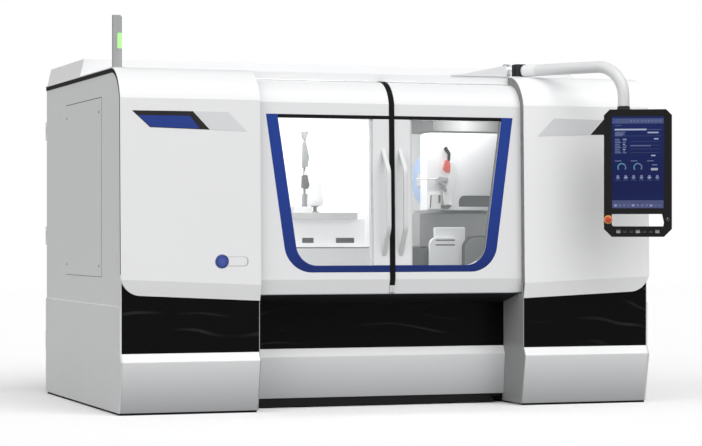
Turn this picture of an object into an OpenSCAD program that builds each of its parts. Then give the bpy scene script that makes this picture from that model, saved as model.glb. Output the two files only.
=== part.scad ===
// Enclosed cylindrical grinding machine with two sliding doors and a swivelling control panel.
// x runs along the front, the front faces -y and z is up.

/* [Enclosure] */
// Overall width of the enclosure
machine_w = 3300; // [3200:10:3600]
// Depth from the front covers to the cabinet doors
machine_d = 2070; // [2040:10:2300]
// Height of the crease between the front faces and the curved shoulder
crease_h = 1800; // [1790:5:1860]
// Radius of the curved shoulder
shoulder_r = 234; // [226:1:250]
// How far the fronts lean back from the bevel to the crease
front_lean = 22; // [10:1:30]
// Thickness of the moulded covers and roof sheets
cover_t = 6; // [5:0.5:8]
// Width of the dark strip that edges the side panels
side_strip_w = 30; // [24:1:36]
// Thickness of the side panels
side_t = 4; // [3:0.5:5]
// Distance from the covers' lower edge down to the seam of the side panels
side_seam_drop = 30; // [20:1:60]
// Height of the raised roof box above the roof deck
roof_box_h = 109; // [80:1:130]
// Distance from the front plane to the raised roof box
roof_setback = 1080; // [1000:10:1200]
// Inward slope of the roof box at each end
roof_bevel = 24; // [10:1:40]

/* [Front covers] */
// Width of each fixed front cover
pod_w = 825; // [815:1:830]
// Height of the lower edge at the inner end
cover_low_h = 645; // [630:1:655]
// Height of the bevel above the lower edge
bevel_h = 91; // [80:1:100]
// Depth of the bevel
bevel_d = 20; // [16:1:22]
// Rise of the lower edge towards the outer end, in degrees
edge_slope = 2.7; // [2:0.1:3]
// Radius of the outer lower corner
corner_r = 120; // [80:1:140]
// Height of the skirt's upper edge
skirt_h = 350; // [320:1:380]
// Height of the bright bevel on top of the skirt
skirt_bevel_h = 47; // [40:1:60]
// How far the skirt's foot is drawn back
skirt_rake = 57; // [40:1:70]
// Gap between the covers and the floor
floor_gap = 12; // [8:1:16]

/* [Sliding doors] */
// Depth of the door face behind the front covers
door_recess = 52; // [48:1:56]
// Thickness of a door
door_t = 40; // [34:1:44]
// Height of the doors' lower edge above the fixed covers' lower edge
door_rise = 35; // [31:1:45]
// Height of the bevel along the doors' lower edge
door_bevel_h = 83; // [70:1:90]
// Overlap of a door behind the fixed cover
door_lap = 10; // [6:1:16]
// Travel of each door
door_travel = 700; // [600:10:700]
// Width of each rubber seal where the doors meet
seal_w = 16; // [14:1:22]
// Distance from the window's upper edge up to the crease
window_top_drop = 75; // [60:1:100]
// Height of the window's lower edge above the doors' lower edge
window_sill = 125; // [110:1:140]
// Distance from the window's upper corner to the fixed cover
window_side_gap = 51; // [41:1:75]
// How far each side of the window slopes inwards from top to bottom
window_taper = 128; // [110:1:140]
// Radius of the window's lower corners
window_r = 170; // [150:1:180]
// Width of the coloured trim at the sides
trim_side_w = 72; // [60:1:80]
// Width of the coloured trim along the bottom
trim_low_w = 40; // [34:1:50]
// Height of the dark strip above the glass
trim_top_w = 20; // [14:1:24]
// Thickness of the trim
trim_t = 4; // [3:0.5:5]
// Thickness of the safety glass
glass_t = 8; // [6:0.5:10]
// Distance from the centre line to the glass
stile_w = 130; // [124:1:150]
// Distance from the centre line to a handle's middle
handle_inset = 53; // [48:1:60]
// Overall height of a handle
handle_h = 636; // [560:2:680]
// Height of the handle's lower end
handle_low_h = 897; // [880:1:930]
// How far the handle bows out
handle_bow = 94; // [84:1:102]
// Width of the handle
handle_w = 28; // [24:1:32]
// Thickness of the handle at its middle
handle_t = 18; // [14:1:22]

/* [Middle section] */
// Depth of the lower middle section behind the front plane
middle_recess = 330; // [300:5:336]
// Depth of the bright bevel below the middle band
middle_bevel_d = 24; // [16:1:30]
// Height of the dark toe plate's upper corner
toe_h = 57; // [45:1:66]
// Distance from the toe plate's end to the fixed cover
toe_gap = 47; // [35:1:85]
// Length of the toe plate's sloped ends
toe_slope = 59; // [40:1:70]

/* [Support arm] */
// Distance of the arm's pivot from the side of the enclosure
arm_side = 735; // [690:1:745]
// Distance of the arm's pivot behind the front plane
arm_y = 300; // [290:1:320]
// Diameter of the arm tube
tube_d = 70; // [60:1:74]
// Reach from the pivot to the hanging tube
arm_reach = 758; // [740:1:780]
// Direction of the arm towards the front, in degrees from the x axis
arm_heading = 59; // [57:1:62]
// Radius of the elbow's centre line
elbow_r = 185; // [150:1:190]
// Height of the tube above the roof deck
tube_gap = 4; // [3:1:12]

/* [Control panel] */
// Width of the control panel
panel_w = 397; // [390:1:410]
// Height of the control panel with its grip
panel_h = 750; // [740:1:770]
// Distance from the roof deck down to the panel's upper edge
panel_drop = 223; // [210:1:236]
// Turn of the panel towards the operator, in degrees
panel_yaw = 27; // [24:1:30]
// Distance from the tube to the panel's middle
panel_shift = 84; // [78:1:90]
// Depth of the panel's rear housing
housing_d = 62; // [50:1:70]
// Thickness of the panel's front frame
frame_t = 26; // [20:1:30]
// Width of the screen glass
screen_w = 330; // [300:1:340]
// Height of the screen glass
screen_h = 560; // [540:1:570]
// Height of the open grip slot
slot_h = 72; // [60:1:76]
// Width of the open grip slot
slot_w = 304; // [280:1:310]
// Height of the key bar below the slot
key_bar_h = 62; // [54:1:66]
// Diameter of the emergency stop button
stop_d = 36; // [30:1:40]
// Diameter of the override knob
knob_d = 30; // [24:1:34]

/* [Signal light] */
// Distance of the signal light from the side of the enclosure
signal_side = 46; // [40:1:60]
// Distance of the signal light behind the front plane
signal_y = 290; // [285:1:340]
// Height of the signal light
signal_h = 304; // [260:1:330]
// Width of the signal light
signal_w = 53; // [44:1:60]
// Thickness of the signal light
signal_t = 34; // [26:1:40]

/* [Base] */
// Height of the levelling feet
foot_h = 40; // [30:1:50]
// Diameter of a foot's pad
pad_d = 110; // [90:1:130]
// Size of the base frame's square tube
beam = 80; // [70:1:90]
// Size of the upright posts
post = 60; // [50:1:60]
// Height of the machine bed's guideway face
bed_h = 780; // [760:1:790]

/* [Grinding area] */
// Distance from the grinding area's side wall to the side of the enclosure
area_side = 350; // [330:1:360]
// Distance from the front plane to the back wall
area_back = 1620; // [1600:1:1640]
// Distance from the roof deck down to the grinding area's ceiling
ceiling_drop = 123; // [115:1:135]
// Height of the spindle axis above the work table
centre_h = 210.3; // [195:0.1:225]
// Length of the work table
table_l = 900; // [860:1:940]
// Thickness of the work table
table_t = 40; // [34:1:50]
// Depth of the work table
table_d = 400; // [380:1:420]
// Distance from the table's front edge to the wheelhead's turning axis
table_ahead = 440; // [430:1:450]
// Height of the table carrier
carrier_h = 170; // [165:1:175]
// Right-hand end of the work table
table_end_x = -40; // [-60:1:-20]
// Diameter of the chuck
chuck_d = 200; // [160:1:220]
// Diameter of the workhead's spindle
spindle_d = 80; // [60:1:90]
// Distance of the wheelhead's turning axis from the grinding area's side wall
turret_side = 550; // [540:1:560]
// Distance of the wheelhead's turning axis behind the front plane
turret_y = 1000; // [980:1:1010]
// Width of the wheelhead's front housing
head_w = 555; // [520:1:560]
// Height of the wheelhead's front housing
head_h = 480; // [470:1:500]
// Depth of the wheelhead's front housing
head_d = 120; // [100:1:120]
// Diameter of the grinding wheel
wheel_d = 290; // [250:1:300]
// Width of the grinding wheel
wheel_w = 40; // [25:1:50]
// Diameter of the internal grinding spindle
quill_d = 60; // [40:1:70]

/* [Rear] */
// Width of the rear wall between the cabinet doors
rear_wall_w = 1060; // [1052:2:1180]
// Depth of the electrical cabinets
cabinet_d = 346; // [330:1:350]
// Diameter of the hinge pins
hinge_pin_d = 8; // [6:0.5:9]
// Diameter of the extraction collar
collar_d = 160; // [120:5:180]
// Length of the extraction collar
collar_l = 60; // [40:5:80]

/* [Hidden] */

$fn = 48;
seat = 0.3;
run_gap = 0.5;
pin_play = 0.06;
over = 10;
half_w = machine_w / 2;
pod_in = half_w - pod_w;
side_seam_h = cover_low_h - side_seam_drop;
door_low_h = cover_low_h + door_rise;
window_top_h = crease_h - window_top_drop;
window_low_h = door_low_h + window_sill;
cabinet_door_w = half_w - rear_wall_w / 2;
window_top_half = pod_in - window_side_gap;
window_low_half = window_top_half - window_taper;
toe_half = pod_in - toe_gap;
arm_x = half_w - arm_side;
signal_x = half_w - signal_side;
area_half = half_w - area_side;
turret_x = area_half - turret_side;
lean_h = cover_low_h + bevel_h;
lean_deg = atan(front_lean / (crease_h - lean_h));
shoulder_start = 12;
shoulder_y = front_lean + shoulder_r * cos(shoulder_start);
shoulder_z = crease_h - shoulder_r * sin(shoulder_start);
deck_h = shoulder_z + shoulder_r;
cover_back = shoulder_y + 2 * cover_t;
area_top_h = deck_h - ceiling_drop;
band_y = bevel_d + cover_t + seat;
band_t = cover_t;
return_t = 4;
sheet_t = 4;
strip_inset = 2;
knuckle_wall = 3;
knuckle_gap = 1;

door_in_face = door_recess + door_t;
door_out = pod_in + door_lap;
carriage_t = 30;
rail_d = 20;
rail_h = 20;
door_back = shoulder_y + 1.2 * door_t;
lintel_y = door_back + carriage_t + rail_d + 2 * run_gap;
rail_z = deck_h - door_in_face;
seal_proud = 5;

strip_out = half_w - strip_inset;
side_out = half_w - cover_t;
side_in = side_out - side_t;
band_out = side_in - seat;
post_x = side_in - seat - post;
beam_top = deck_h - cover_t;
bay_h = foot_h + beam;
rear_y = machine_d - cover_t * 4;

tube_z = deck_h + tube_gap + tube_d / 2;
hang_x = arm_x + arm_reach * cos(arm_heading);
hang_y = arm_y - arm_reach * sin(arm_heading);
panel_top_h = deck_h - panel_drop;
panel_low_h = panel_top_h - panel_h;
panel_mid = panel_shift;
face_y = -frame_t - housing_d / 2;
overhang = -(hang_y - (panel_shift + panel_w / 2) * sin(panel_yaw) + face_y * cos(panel_yaw));
side_back = machine_d - sheet_t;
door_skin_y = machine_d - 2.5 * cover_t;
knuckle_r = hinge_pin_d / 2 + knuckle_wall;
hinge_y = machine_d + knuckle_r + knuckle_gap;
hinge_x = half_w - knuckle_r - knuckle_gap;
collar_y = rear_y + seat + cover_t;
front_y = (overhang - collar_y - collar_l) / 2;

carrier_low = bed_h + carrier_h;
table_low = carrier_low + carrier_h - seat;
table_top = table_low + table_t;
axis_h = table_top + centre_h;
table_y = turret_y - table_ahead;
swing_r = area_half - sheet_t - turret_x - over;
slide_half = head_w * 0.6;
bed_front = lintel_y + post + seat + over;
bed_step = bed_front + (table_y - bed_front) * 0.9;

function lean_at(z) = front_lean * (z - lean_h) / (crease_h - lean_h);
function arc(cx, cy, r, a0, a1, n = 14) = [for (i = [0:n]) let (a = a0 + (a1 - a0) * i / n)
    [cx + r * cos(a), cy + r * sin(a)]];
// Arc of radius r that rounds the corner b between the directions to a and to c.
function bend(a, b, c, r, n = 5) = let (u = (a - b) / norm(a - b), v = (c - b) / norm(c - b),
    half = acos(u * v) / 2, m = b + (u + v) / norm(u + v) * r / sin(half), s = b + u * r / tan(half) - m,
    a0 = atan2(s[1], s[0]), turn = (u[0] * v[1] - u[1] * v[0] > 0 ? -1 : 1) * (180 - 2 * half))
    [for (i = [0:n]) m + r * [cos(a0 + turn * i / n), sin(a0 + turn * i / n)]];
// Corner of the line at distance d inside the corner b.
function inside_corner(a, b, c, d) = let (u = (a - b) / norm(a - b), v = (c - b) / norm(c - b),
    half = acos(u * v) / 2) b + (u + v) / norm(u + v) * d / sin(half);
function flip(p) = [for (i = [len(p) - 1:-1:0]) p[i]];
function shoulder(d) = arc(shoulder_y, shoulder_z, shoulder_r - d,
    180 - acos((shoulder_y - front_lean - d) / (shoulder_r - d)), 90);
// Outline of the front in the y-z plane, d behind the covers' outer face.
function profile(d, low, back) = concat([[lean_at(low) + d, low]], shoulder(d), [[back, deck_h - d]]);

module from_front() translate([0, front_y, 0]) children();
module mirrored() mirror([1, 0, 0]) children();
module both_sides() {
    children();
    mirror([1, 0, 0]) children();
}
module extrude_x(x0, x1) translate([x0, 0, 0]) rotate([90, 0, 90]) linear_extrude(x1 - x0) children();
module extrude_y(y0, y1) translate([0, y1, 0]) rotate([90, 0, 0]) linear_extrude(y1 - y0) children();
module block(x0, x1, y0, y1, z0, z1) translate([x0, y0, z0]) cube([x1 - x0, y1 - y0, z1 - z0]);
module rod_x(x0, x1, y, z, d) translate([x0, y, z]) rotate([0, 90, 0]) cylinder(d = d, h = x1 - x0);
module rod_y(x, y0, y1, z, d) translate([x, y0, z]) rotate([-90, 0, 0]) cylinder(d = d, h = y1 - y0);
// Children are drawn in the x-z plane and laid on the leaning door face, y pointing into the door.
module on_door_face() translate([0, door_recess, lean_h]) rotate([-lean_deg, 0, 0])
    translate([0, 0, -lean_h]) children();

// Base

module machine_bed() color("gainsboro") from_front() {
    back = area_back + post;
    back_step = back - (bed_step - bed_front);
    ledge = bed_h * 0.82;
    flank_h = bed_h * 0.72;
    bed_half = area_half * 0.92;
    way = carrier_low - seat;
    difference() {
        union() {
            extrude_x(-bed_half, bed_half) polygon([[bed_front, bay_h], [bed_front, flank_h],
                [bed_step, ledge], [bed_step, bed_h], [back_step, bed_h], [back_step, ledge],
                [back, flank_h], [back, bay_h]]);
            // Guideways of the table and of the cross slide
            block(-bed_half * 0.93, slide_half * 1.14, table_y + table_t, table_y + table_d,
                bed_h - over, way);
            block(turret_x - slide_half * 0.85, turret_x + slide_half * 0.85,
                turret_y - slide_half * 1.05, turret_y + slide_half * 1.15, bed_h - over, way);
        }
        // Coolant passages through the casting
        for (x = [-0.5, 0.5]) translate([x * bed_half, 0, 0])
            extrude_y(bed_front - over, back + over) translate([-bed_half * 0.14, bay_h + beam])
                square([bed_half * 0.28, beam * 1.6]);
    }
}

module foot(x, y) translate([x, y, 0]) rotate_extrude() polygon([[0, 0], [pad_d / 2, 0],
    [pad_d / 2, foot_h * 0.25], [pad_d * 0.2, foot_h * 0.45], [pad_d * 0.2, foot_h * 0.6],
    [pad_d * 0.13, foot_h * 0.6], [pad_d * 0.13, foot_h], [0, foot_h]]);

beam_ys = [lintel_y, area_back, rear_y - beam];
feet_ys = [lintel_y + pad_d / 2, area_back + beam / 2, rear_y - pad_d / 2];

module levelling_feet() color("dimgray") from_front() both_sides() {
    for (y = [cover_back + beam, machine_d / 2, rear_y - pad_d / 2]) foot(post_x, y);
    for (y = feet_ys) foot(pod_in * 0.55, y);
}

module base_frame() color("dimgray") from_front() {
    both_sides() block(post_x - beam / 2, post_x + post, cover_back - beam, rear_y, foot_h, bay_h);
    for (y = beam_ys)
        block(-post_x + beam / 2 + seat, post_x - beam / 2 - seat, y, y + beam, foot_h, bay_h);
}

module posts_and_beams() color("silver") from_front() {
    lintel_low = rail_z - beam * 0.4;
    both_sides() {
        // Outer posts, pod posts and the side rails under the roof
        block(post_x, post_x + post, cover_back, cover_back + post, bay_h, beam_top - post);
        block(post_x, post_x + post, rear_y - post, rear_y, bay_h, beam_top - post);
        block(post_x, post_x + post, cover_back, rear_y, beam_top - post + seat, beam_top);
        block(pod_in + door_lap, pod_in + door_lap + post, lintel_y, lintel_y + post,
            bay_h + seat, lintel_low - seat);
    }
    block(-post_x + seat, post_x - seat, lintel_y, lintel_y + post, lintel_low, beam_top - post * 0.6);
    block(-post_x + seat, post_x - seat, rear_y - post, rear_y, beam_top - post, beam_top);
}

// Front covers, drawn for the right-hand side

function low_edge(x) = cover_low_h + tan(edge_slope) * (x - pod_in);
corner_x = half_w - corner_r;
corner_z = low_edge(corner_x) + corner_r / cos(edge_slope);

function cover_outline(d) = concat(
    [[pod_in - over, low_edge(pod_in - over) + d / cos(edge_slope)]],
    arc(corner_x, corner_z, corner_r - d, edge_slope - 90, 0),
    d > 0 ? [[half_w + over, corner_z], [half_w + over, deck_h + over]] : [[half_w, deck_h + over]],
    [[pod_in - over, deck_h + over]]);

// Everything in front of and below the bevel, which rises towards the outer end.
module bevel_cut(d) {
    run = norm([bevel_d, bevel_h]);
    along = [bevel_d, -bevel_h] / run;
    start = [bevel_h, bevel_d] / run * d;
    reach = 3 * run;
    translate([pod_in, 0, lean_h]) rotate([0, -edge_slope, 0]) extrude_x(-reach, pod_w + reach)
        polygon([start - along * run, start + along * reach, [-reach, -reach], [-reach, run]]);
}

module cover_form(d) difference() {
    intersection() {
        extrude_x(pod_in - (d > 0 ? over : 0), half_w + (d > 0 ? over : 0))
            polygon(concat([[cover_back + (d > 0 ? over : 0), 0]], [[d - over / 2, 0]],
                profile(d, cover_low_h, cover_back + (d > 0 ? over : 0))));
        extrude_y(-over - bevel_d, cover_back + 2 * over) polygon(cover_outline(d));
    }
    bevel_cut(d);
}

module front_cover() from_front() difference() {
    cover_form(0);
    cover_form(cover_t);
    block(pod_in - over, half_w + over, bevel_d + cover_t, cover_back + over, 0, corner_z);
}

module left_front_cover() color("whitesmoke") mirrored() front_cover();
module right_front_cover() color("whitesmoke") front_cover();

band_x = pod_in + return_t + seat;
module band() from_front() difference() {
    block(band_x, band_out, band_y, band_y + side_strip_w, skirt_h + seat, corner_z);
    block(band_x - over, band_out - band_t, band_y + band_t, band_y + side_strip_w + over,
        skirt_h - over, corner_z + over);
}
module cover_bands() color("#181818") both_sides() band();

module skirt() from_front() {
    top = skirt_h;
    nose = skirt_h - skirt_bevel_h;
    inside = skirt_rake + cover_t;
    extrude_x(band_x, band_out - cover_t) polygon([[band_y + side_strip_w, top], [band_y, top], [0, nose],
        [skirt_rake, floor_gap], [inside, floor_gap], [cover_t, nose - cover_t / 2],
        [band_y, top - cover_t], [band_y + side_strip_w, top - cover_t]]);
    // End cap that closes the outer end
    extrude_x(band_out - cover_t, band_out) polygon([[band_y + side_strip_w, top], [band_y, top],
        [0, nose], [skirt_rake, floor_gap], [inside, floor_gap], [band_y + side_strip_w, nose]]);
}
module cover_skirts() color("gainsboro") both_sides() skirt();

module cover_returns() color("gainsboro") from_front() both_sides() {
    tongue = band_y + band_t + seat;
    extrude_x(pod_in, pod_in + return_t) polygon([[skirt_rake, floor_gap], [0, skirt_h - skirt_bevel_h],
        [band_y, skirt_h], [band_y, cover_low_h - seat], [tongue, cover_low_h - seat],
        [tongue, lean_h - seat], [door_recess - run_gap, lean_h - seat],
        [door_recess - run_gap, door_low_h - 2 * sheet_t], [lintel_y - seat, door_low_h - 2 * sheet_t],
        [lintel_y - seat, floor_gap]]);
}

module door_wipers() color("#202020") from_front() both_sides() extrude_x(pod_in, pod_in + return_t)
    polygon(concat(profile(cover_t + seat, lean_h, cover_back),
        flip(profile(door_recess - run_gap, lean_h, cover_back))));

// Middle section below the doors

middle_x = pod_in - seat;
middle_top = side_seam_h;
module groove(d) {
    low = skirt_h + (middle_top - skirt_h) * 0.62 + d;
    top = middle_top - band_t * 3 + d / 8;
    polygon([[d - pod_in * 0.25, low], [pod_in * 0.25 - d, low], [pod_in * 0.456 - d, top],
        [d - pod_in * 0.456, top]]);
}
module middle_band() color("#181818") from_front() {
    face = middle_recess + band_t;
    low = skirt_h;
    difference() {
        block(-middle_x, middle_x, middle_recess, face, low, middle_top);
        // Pressed groove that opens towards the top
        extrude_y(middle_recess - over, middle_recess + 2 * run_gap) difference() {
            groove(0);
            groove(band_t * 2);
        }
    }
}

module underside_panel() color("#202020") from_front() {
    front = door_in_face;
    top = door_low_h - sheet_t;
    extrude_x(-middle_x, middle_x) polygon([[front, top], [middle_recess, middle_top + sheet_t + seat],
        [middle_recess + band_t, middle_top + sheet_t + seat], [middle_recess + band_t, middle_top + seat],
        [middle_recess, middle_top + seat], [front, top - sheet_t]]);
}

module middle_skirt() color("gainsboro") from_front() {
    nose = middle_recess - middle_bevel_d;
    z = skirt_h - skirt_bevel_h;
    extrude_x(-middle_x, middle_x) polygon([[middle_recess + band_t, skirt_h - seat],
        [middle_recess, skirt_h - seat], [nose, z], [middle_recess, toe_h], [middle_recess + cover_t, toe_h],
        [nose + cover_t, z - cover_t / 2], [middle_recess + band_t, skirt_h - cover_t - seat]]);
}

module toe_plate() color("#202020") from_front() {
    y = middle_recess + cover_t + seat;
    extrude_y(y, y + cover_t) polygon([[-toe_half, floor_gap / 2], [toe_half, floor_gap / 2],
        [toe_half - toe_slope, toe_h], [toe_half - toe_slope, toe_h * 1.5],
        [toe_slope - toe_half, toe_h * 1.5], [toe_slope - toe_half, toe_h]]);
}

// Sides and roof

access_y_shares = [0.246, 0.713];
access_z_shares = [0.4333, 1.0139];
access_y = access_y_shares * machine_d;
access_z = access_z_shares * crease_h;
module access_square(y0, inset) translate([access_y[0] + inset, access_z[0] + inset])
    square([access_y[1] - access_y[0] - 2 * inset, access_z[1] - access_z[0] - 2 * inset]);

module side_panel() from_front() difference() {
    // Stands forward to the band below the front cover's corner
    extrude_x(side_in, side_out) polygon(concat([[side_back, side_seam_h + seat],
        [band_y, side_seam_h + seat], [band_y, corner_z]], profile(side_strip_w, corner_z, side_back)));
    extrude_x(side_in - over, side_out + over) access_square(0, side_strip_w);
}
module side_panels() color("silver") both_sides() side_panel();

module lower_side_panels() color("silver") from_front() both_sides()
    extrude_x(side_in, half_w) polygon([[skirt_rake, floor_gap], [0, skirt_h - skirt_bevel_h],
        [band_y, skirt_h], [band_y, side_seam_h], [side_back, side_seam_h], [side_back, floor_gap]]);

module access_covers() color("silver") from_front() both_sides()
    extrude_x(side_out, side_out + side_t / 2) access_square(0, 0);

module side_seals() color("#202020") from_front() both_sides() extrude_x(side_in, strip_out)
    polygon(concat(profile(cover_t + seat, corner_z, side_back),
        flip(profile(side_strip_w - seat, corner_z, side_back))));

module roof_deck() color("whitesmoke") from_front() {
    front = cover_back + seat;
    block(-half_w, half_w, front, side_back, deck_h - cover_t, deck_h);
    // Drop edge above the doors
    block(-pod_in + seat, pod_in - seat, front, front + cover_t,
        deck_h - door_recess + seal_proud + 2 * run_gap, deck_h - cover_t);
}

module roof_section(x, d) polygon([[-x + d, deck_h - (d > 0 ? over : 0)],
    [x - d, deck_h - (d > 0 ? over : 0)], [x - roof_bevel - d, deck_h + roof_box_h - d],
    [-x + roof_bevel + d, deck_h + roof_box_h - d]]);

module roof_box() color("whitesmoke") from_front() difference() {
    extrude_y(roof_setback, rear_y) roof_section(half_w - cover_t, 0);
    extrude_y(roof_setback + cover_t, rear_y - cover_t) roof_section(half_w - cover_t, cover_t);
}

// Rear

collar_z = deck_h * 0.84;
module rear_wall() color("silver") from_front() {
    inner = half_w - cabinet_door_w - run_gap;
    face = rear_y + seat;
    difference() {
        block(-inner, inner, face, face + cover_t, bay_h, beam_top - seat);
        rod_y(0, face - over, face + 2 * over, collar_z, collar_d);
    }
    block(-side_in + seat, side_in - seat, face, face + cover_t, floor_gap, bay_h - seat);
}

cabinet_x = [half_w - cabinet_door_w + cover_t, post_x - cover_t];
cabinet_z = [bay_h + seat, beam_top - post - seat];
module electrical_cabinets() color("lightgray") from_front() both_sides() difference() {
    back = rear_y + seat - cabinet_d;
    block(cabinet_x[0], cabinet_x[1], back, door_skin_y - seat, cabinet_z[0], cabinet_z[1]);
    block(cabinet_x[0] + sheet_t, cabinet_x[1] - sheet_t, back + sheet_t, machine_d,
        cabinet_z[0] + sheet_t, cabinet_z[1] - sheet_t);
}

hinge_shares = [0.16, 0.5, 0.84];
knuckle_h = 60;
module hinge_spots() for (s = hinge_shares) translate([hinge_x, hinge_y, s * beam_top]) children();

// Fixed knuckles with their pins, carried by the rear edge of the side panels
module cabinet_hinges() color("gray") from_front() both_sides() hinge_spots() {
    for (z = [-knuckle_h / 2, knuckle_h + seat]) translate([0, 0, z]) {
        cylinder(r = knuckle_r, h = knuckle_h / 2 - seat);
        leaf_y = side_back + seat - hinge_y;
        translate([side_in - hinge_x, leaf_y, 0]) cube([side_t, -leaf_y, knuckle_h / 2 - seat]);
    }
    translate([0, 0, -knuckle_h / 2]) cylinder(d = hinge_pin_d, h = 2 * knuckle_h);
}

module cabinet_door() from_front() {
    block(half_w - cabinet_door_w, side_in - side_t, door_skin_y, machine_d, bay_h, beam_top - cover_t);
    hinge_spots() difference() {
        union() {
            cylinder(r = knuckle_r, h = knuckle_h);
            translate([-knuckle_h, -knuckle_r - knuckle_gap, 0]) cube([knuckle_h, knuckle_r / 2, knuckle_h]);
        }
        translate([0, 0, -over]) cylinder(d = hinge_pin_d + 2 * pin_play, h = knuckle_h + 2 * over);
    }
}
module left_cabinet_door() color("silver") mirrored() cabinet_door();
module right_cabinet_door() color("silver") cabinet_door();

module extraction_collar() color("dimgray") from_front()
    translate([0, collar_y, collar_z]) rotate([-90, 0, 0]) difference() {
        union() {
            cylinder(d = collar_d, h = collar_l);
            cylinder(d = collar_d * 1.25, h = cover_t);
        }
        translate([0, 0, -over]) cylinder(d = collar_d - 2 * cover_t, h = collar_l + 2 * over);
    }

// Grinding area

module door_rails() color("silver") from_front() {
    long = door_out + door_travel;
    foot_y = door_in_face + lean_at(door_low_h + rail_h) + run_gap;
    block(-long, long, lintel_y - rail_d, lintel_y, rail_z, rail_z + rail_h);
    block(-long, long, foot_y, foot_y + rail_d / 2, door_low_h - sheet_t + seat, door_low_h + rail_h);
}

module interior_liner() color("white") from_front() {
    low = bed_h * 0.92;
    wing_y = lintel_y + post + seat;
    top = area_top_h;
    block(-area_half, area_half, area_back - sheet_t, area_back, low, top);
    both_sides() {
        block(area_half - sheet_t, area_half, wing_y + sheet_t + seat, area_back - sheet_t - seat, low, top);
        block(pod_in + return_t, area_half, wing_y, wing_y + sheet_t, low, top);
    }
    block(-area_half, area_half, wing_y, area_back, top + seat, top + seat + sheet_t);
}

apron_y = bed_step - seat;
apron_z = bed_h * 0.885;
module front_apron() color("lightgray") from_front() {
    front = middle_recess + cover_t;
    top = carrier_low - 2 * sheet_t;
    back = table_y + table_t - seat;
    x = pod_in + return_t - seat;
    extrude_x(-x, x) polygon([[front, apron_z], [apron_y - sheet_t, apron_z], [apron_y - sheet_t, top],
        [back, top], [back, top - sheet_t], [apron_y, top - sheet_t], [apron_y, apron_z - sheet_t],
        [front, apron_z - sheet_t]]);
}

module round_top(w, h, r) polygon(concat([[0, 0], [w, 0]], arc(w - r, h - r, r, 0, 90, 8),
    arc(r, h - r, r, 90, 180, 8)));

// Covers of the cross feed drive and of its ways, standing on the apron
module drive_covers() color("gainsboro") from_front() {
    low = apron_z + seat;
    back = apron_y - sheet_t - seat;
    w = slide_half * 0.61;
    x0 = turret_x - slide_half * 1.09;
    box_x = x0 + w * 0.18;
    way_x = box_x + w + over;
    rise = carrier_low + table_t * 3 - low;
    low_rise = rise - table_t * 1.5;
    difference() {
        union() {
            // Square housing at the back and the round-shouldered cover before it
            block(box_x, box_x + w, back - post * 0.6, back, low, low + rise);
            extrude_y(back - post, back - post * 0.5) translate([x0, low]) round_top(w, low_rise, table_t * 1.3);
        }
        for (s = [0.35, 1.1]) block(x0 + w * 0.2, x0 + w * 0.85, back - post - over, back - post * 0.85,
            low + low_rise - s * table_t - over, low + low_rise - s * table_t);
    }
    extrude_y(back - post * 0.8, back) translate([way_x, low]) round_top(w * 1.3, low_rise, table_t * 1.7);
}

module work_light() color("white") from_front() {
    y = lintel_y + post + sheet_t + 2 * seat;
    block(-pod_in * 0.8, pod_in * 0.8, y, y + rail_d * 2, area_top_h - rail_d * 2, area_top_h);
}

module extraction_hood() color("silver") from_front() {
    x0 = turret_x - area_half * 0.15;
    x1 = area_half - sheet_t - seat;
    low = head_low + head_h + 2 * over;
    block(x0, x1, turret_y - beam * 2.2, turret_y + beam * 4, low, area_top_h);
}

// Signal light

module signal_plan(inset) intersection() {
    square([signal_w - 2 * inset, signal_t - 2 * inset], center = true);
    circle(d = signal_w * 1.08 - 2 * inset);
}
lens_shares = [0.37, 0.66];
lens_z = lens_shares * signal_h;
module signal_column() color("silver") from_front() translate([-signal_x, signal_y, deck_h]) {
    translate([-signal_w * 0.7, -signal_t * 0.8, 0]) cube([signal_w * 1.4, signal_t * 1.6, side_t]);
    intersection() {
        difference() {
            linear_extrude(signal_h) signal_plan(0);
            translate([0, -signal_t, lens_z[0]]) cube([signal_w, 2 * signal_t, lens_z[1] - lens_z[0]]);
        }
        rotate([90, 0, 0]) linear_extrude(2 * signal_t, center = true) polygon([[-signal_w, 0],
            [signal_w, 0], [signal_w, signal_h * 0.86], [signal_w * 0.3, signal_h],
            [-signal_w, signal_h]]);
    }
}

module signal_lens() color("limegreen") from_front() translate([-signal_x, signal_y, deck_h])
    intersection() {
        linear_extrude(signal_h) signal_plan(0);
        translate([seat, -signal_t, lens_z[0] + seat])
            cube([signal_w, 2 * signal_t, lens_z[1] - lens_z[0] - 2 * seat]);
    }

// Sliding doors, drawn for the right-hand side

function door_path(d, low) = concat([[d + bevel_d, low], [lean_at(low + door_bevel_h) + d,
    low + door_bevel_h]], shoulder(d), [[door_back, deck_h - d]]);
function door_section(proud, low) = concat(door_path(door_recess - proud, low),
    flip(profile(door_in_face, low, door_back)));

// Window outline with a rounded lower corner between its sloping side and its bottom.
function window(top, low, top_half, low_half, r, from) = let (
    a = atan2(top - low, top_half - low_half),
    cx = low_half + r * tan(a / 2) * cos(a) - r * sin(a))
    concat([[from, low]], arc(cx, low + r, r, -90, a - 90), [[top_half, top], [from, top]]);

glass_top = window_top_h - trim_top_w;
glass_low = window_low_h + trim_low_w;
glass_r = window_r - trim_low_w;
side_slope = (window_top_half - window_low_half) / (window_top_h - window_low_h);
glass_top_half = window_top_half - trim_side_w;
glass_low_half = glass_top_half - side_slope * (window_top_h - glass_low);

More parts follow.
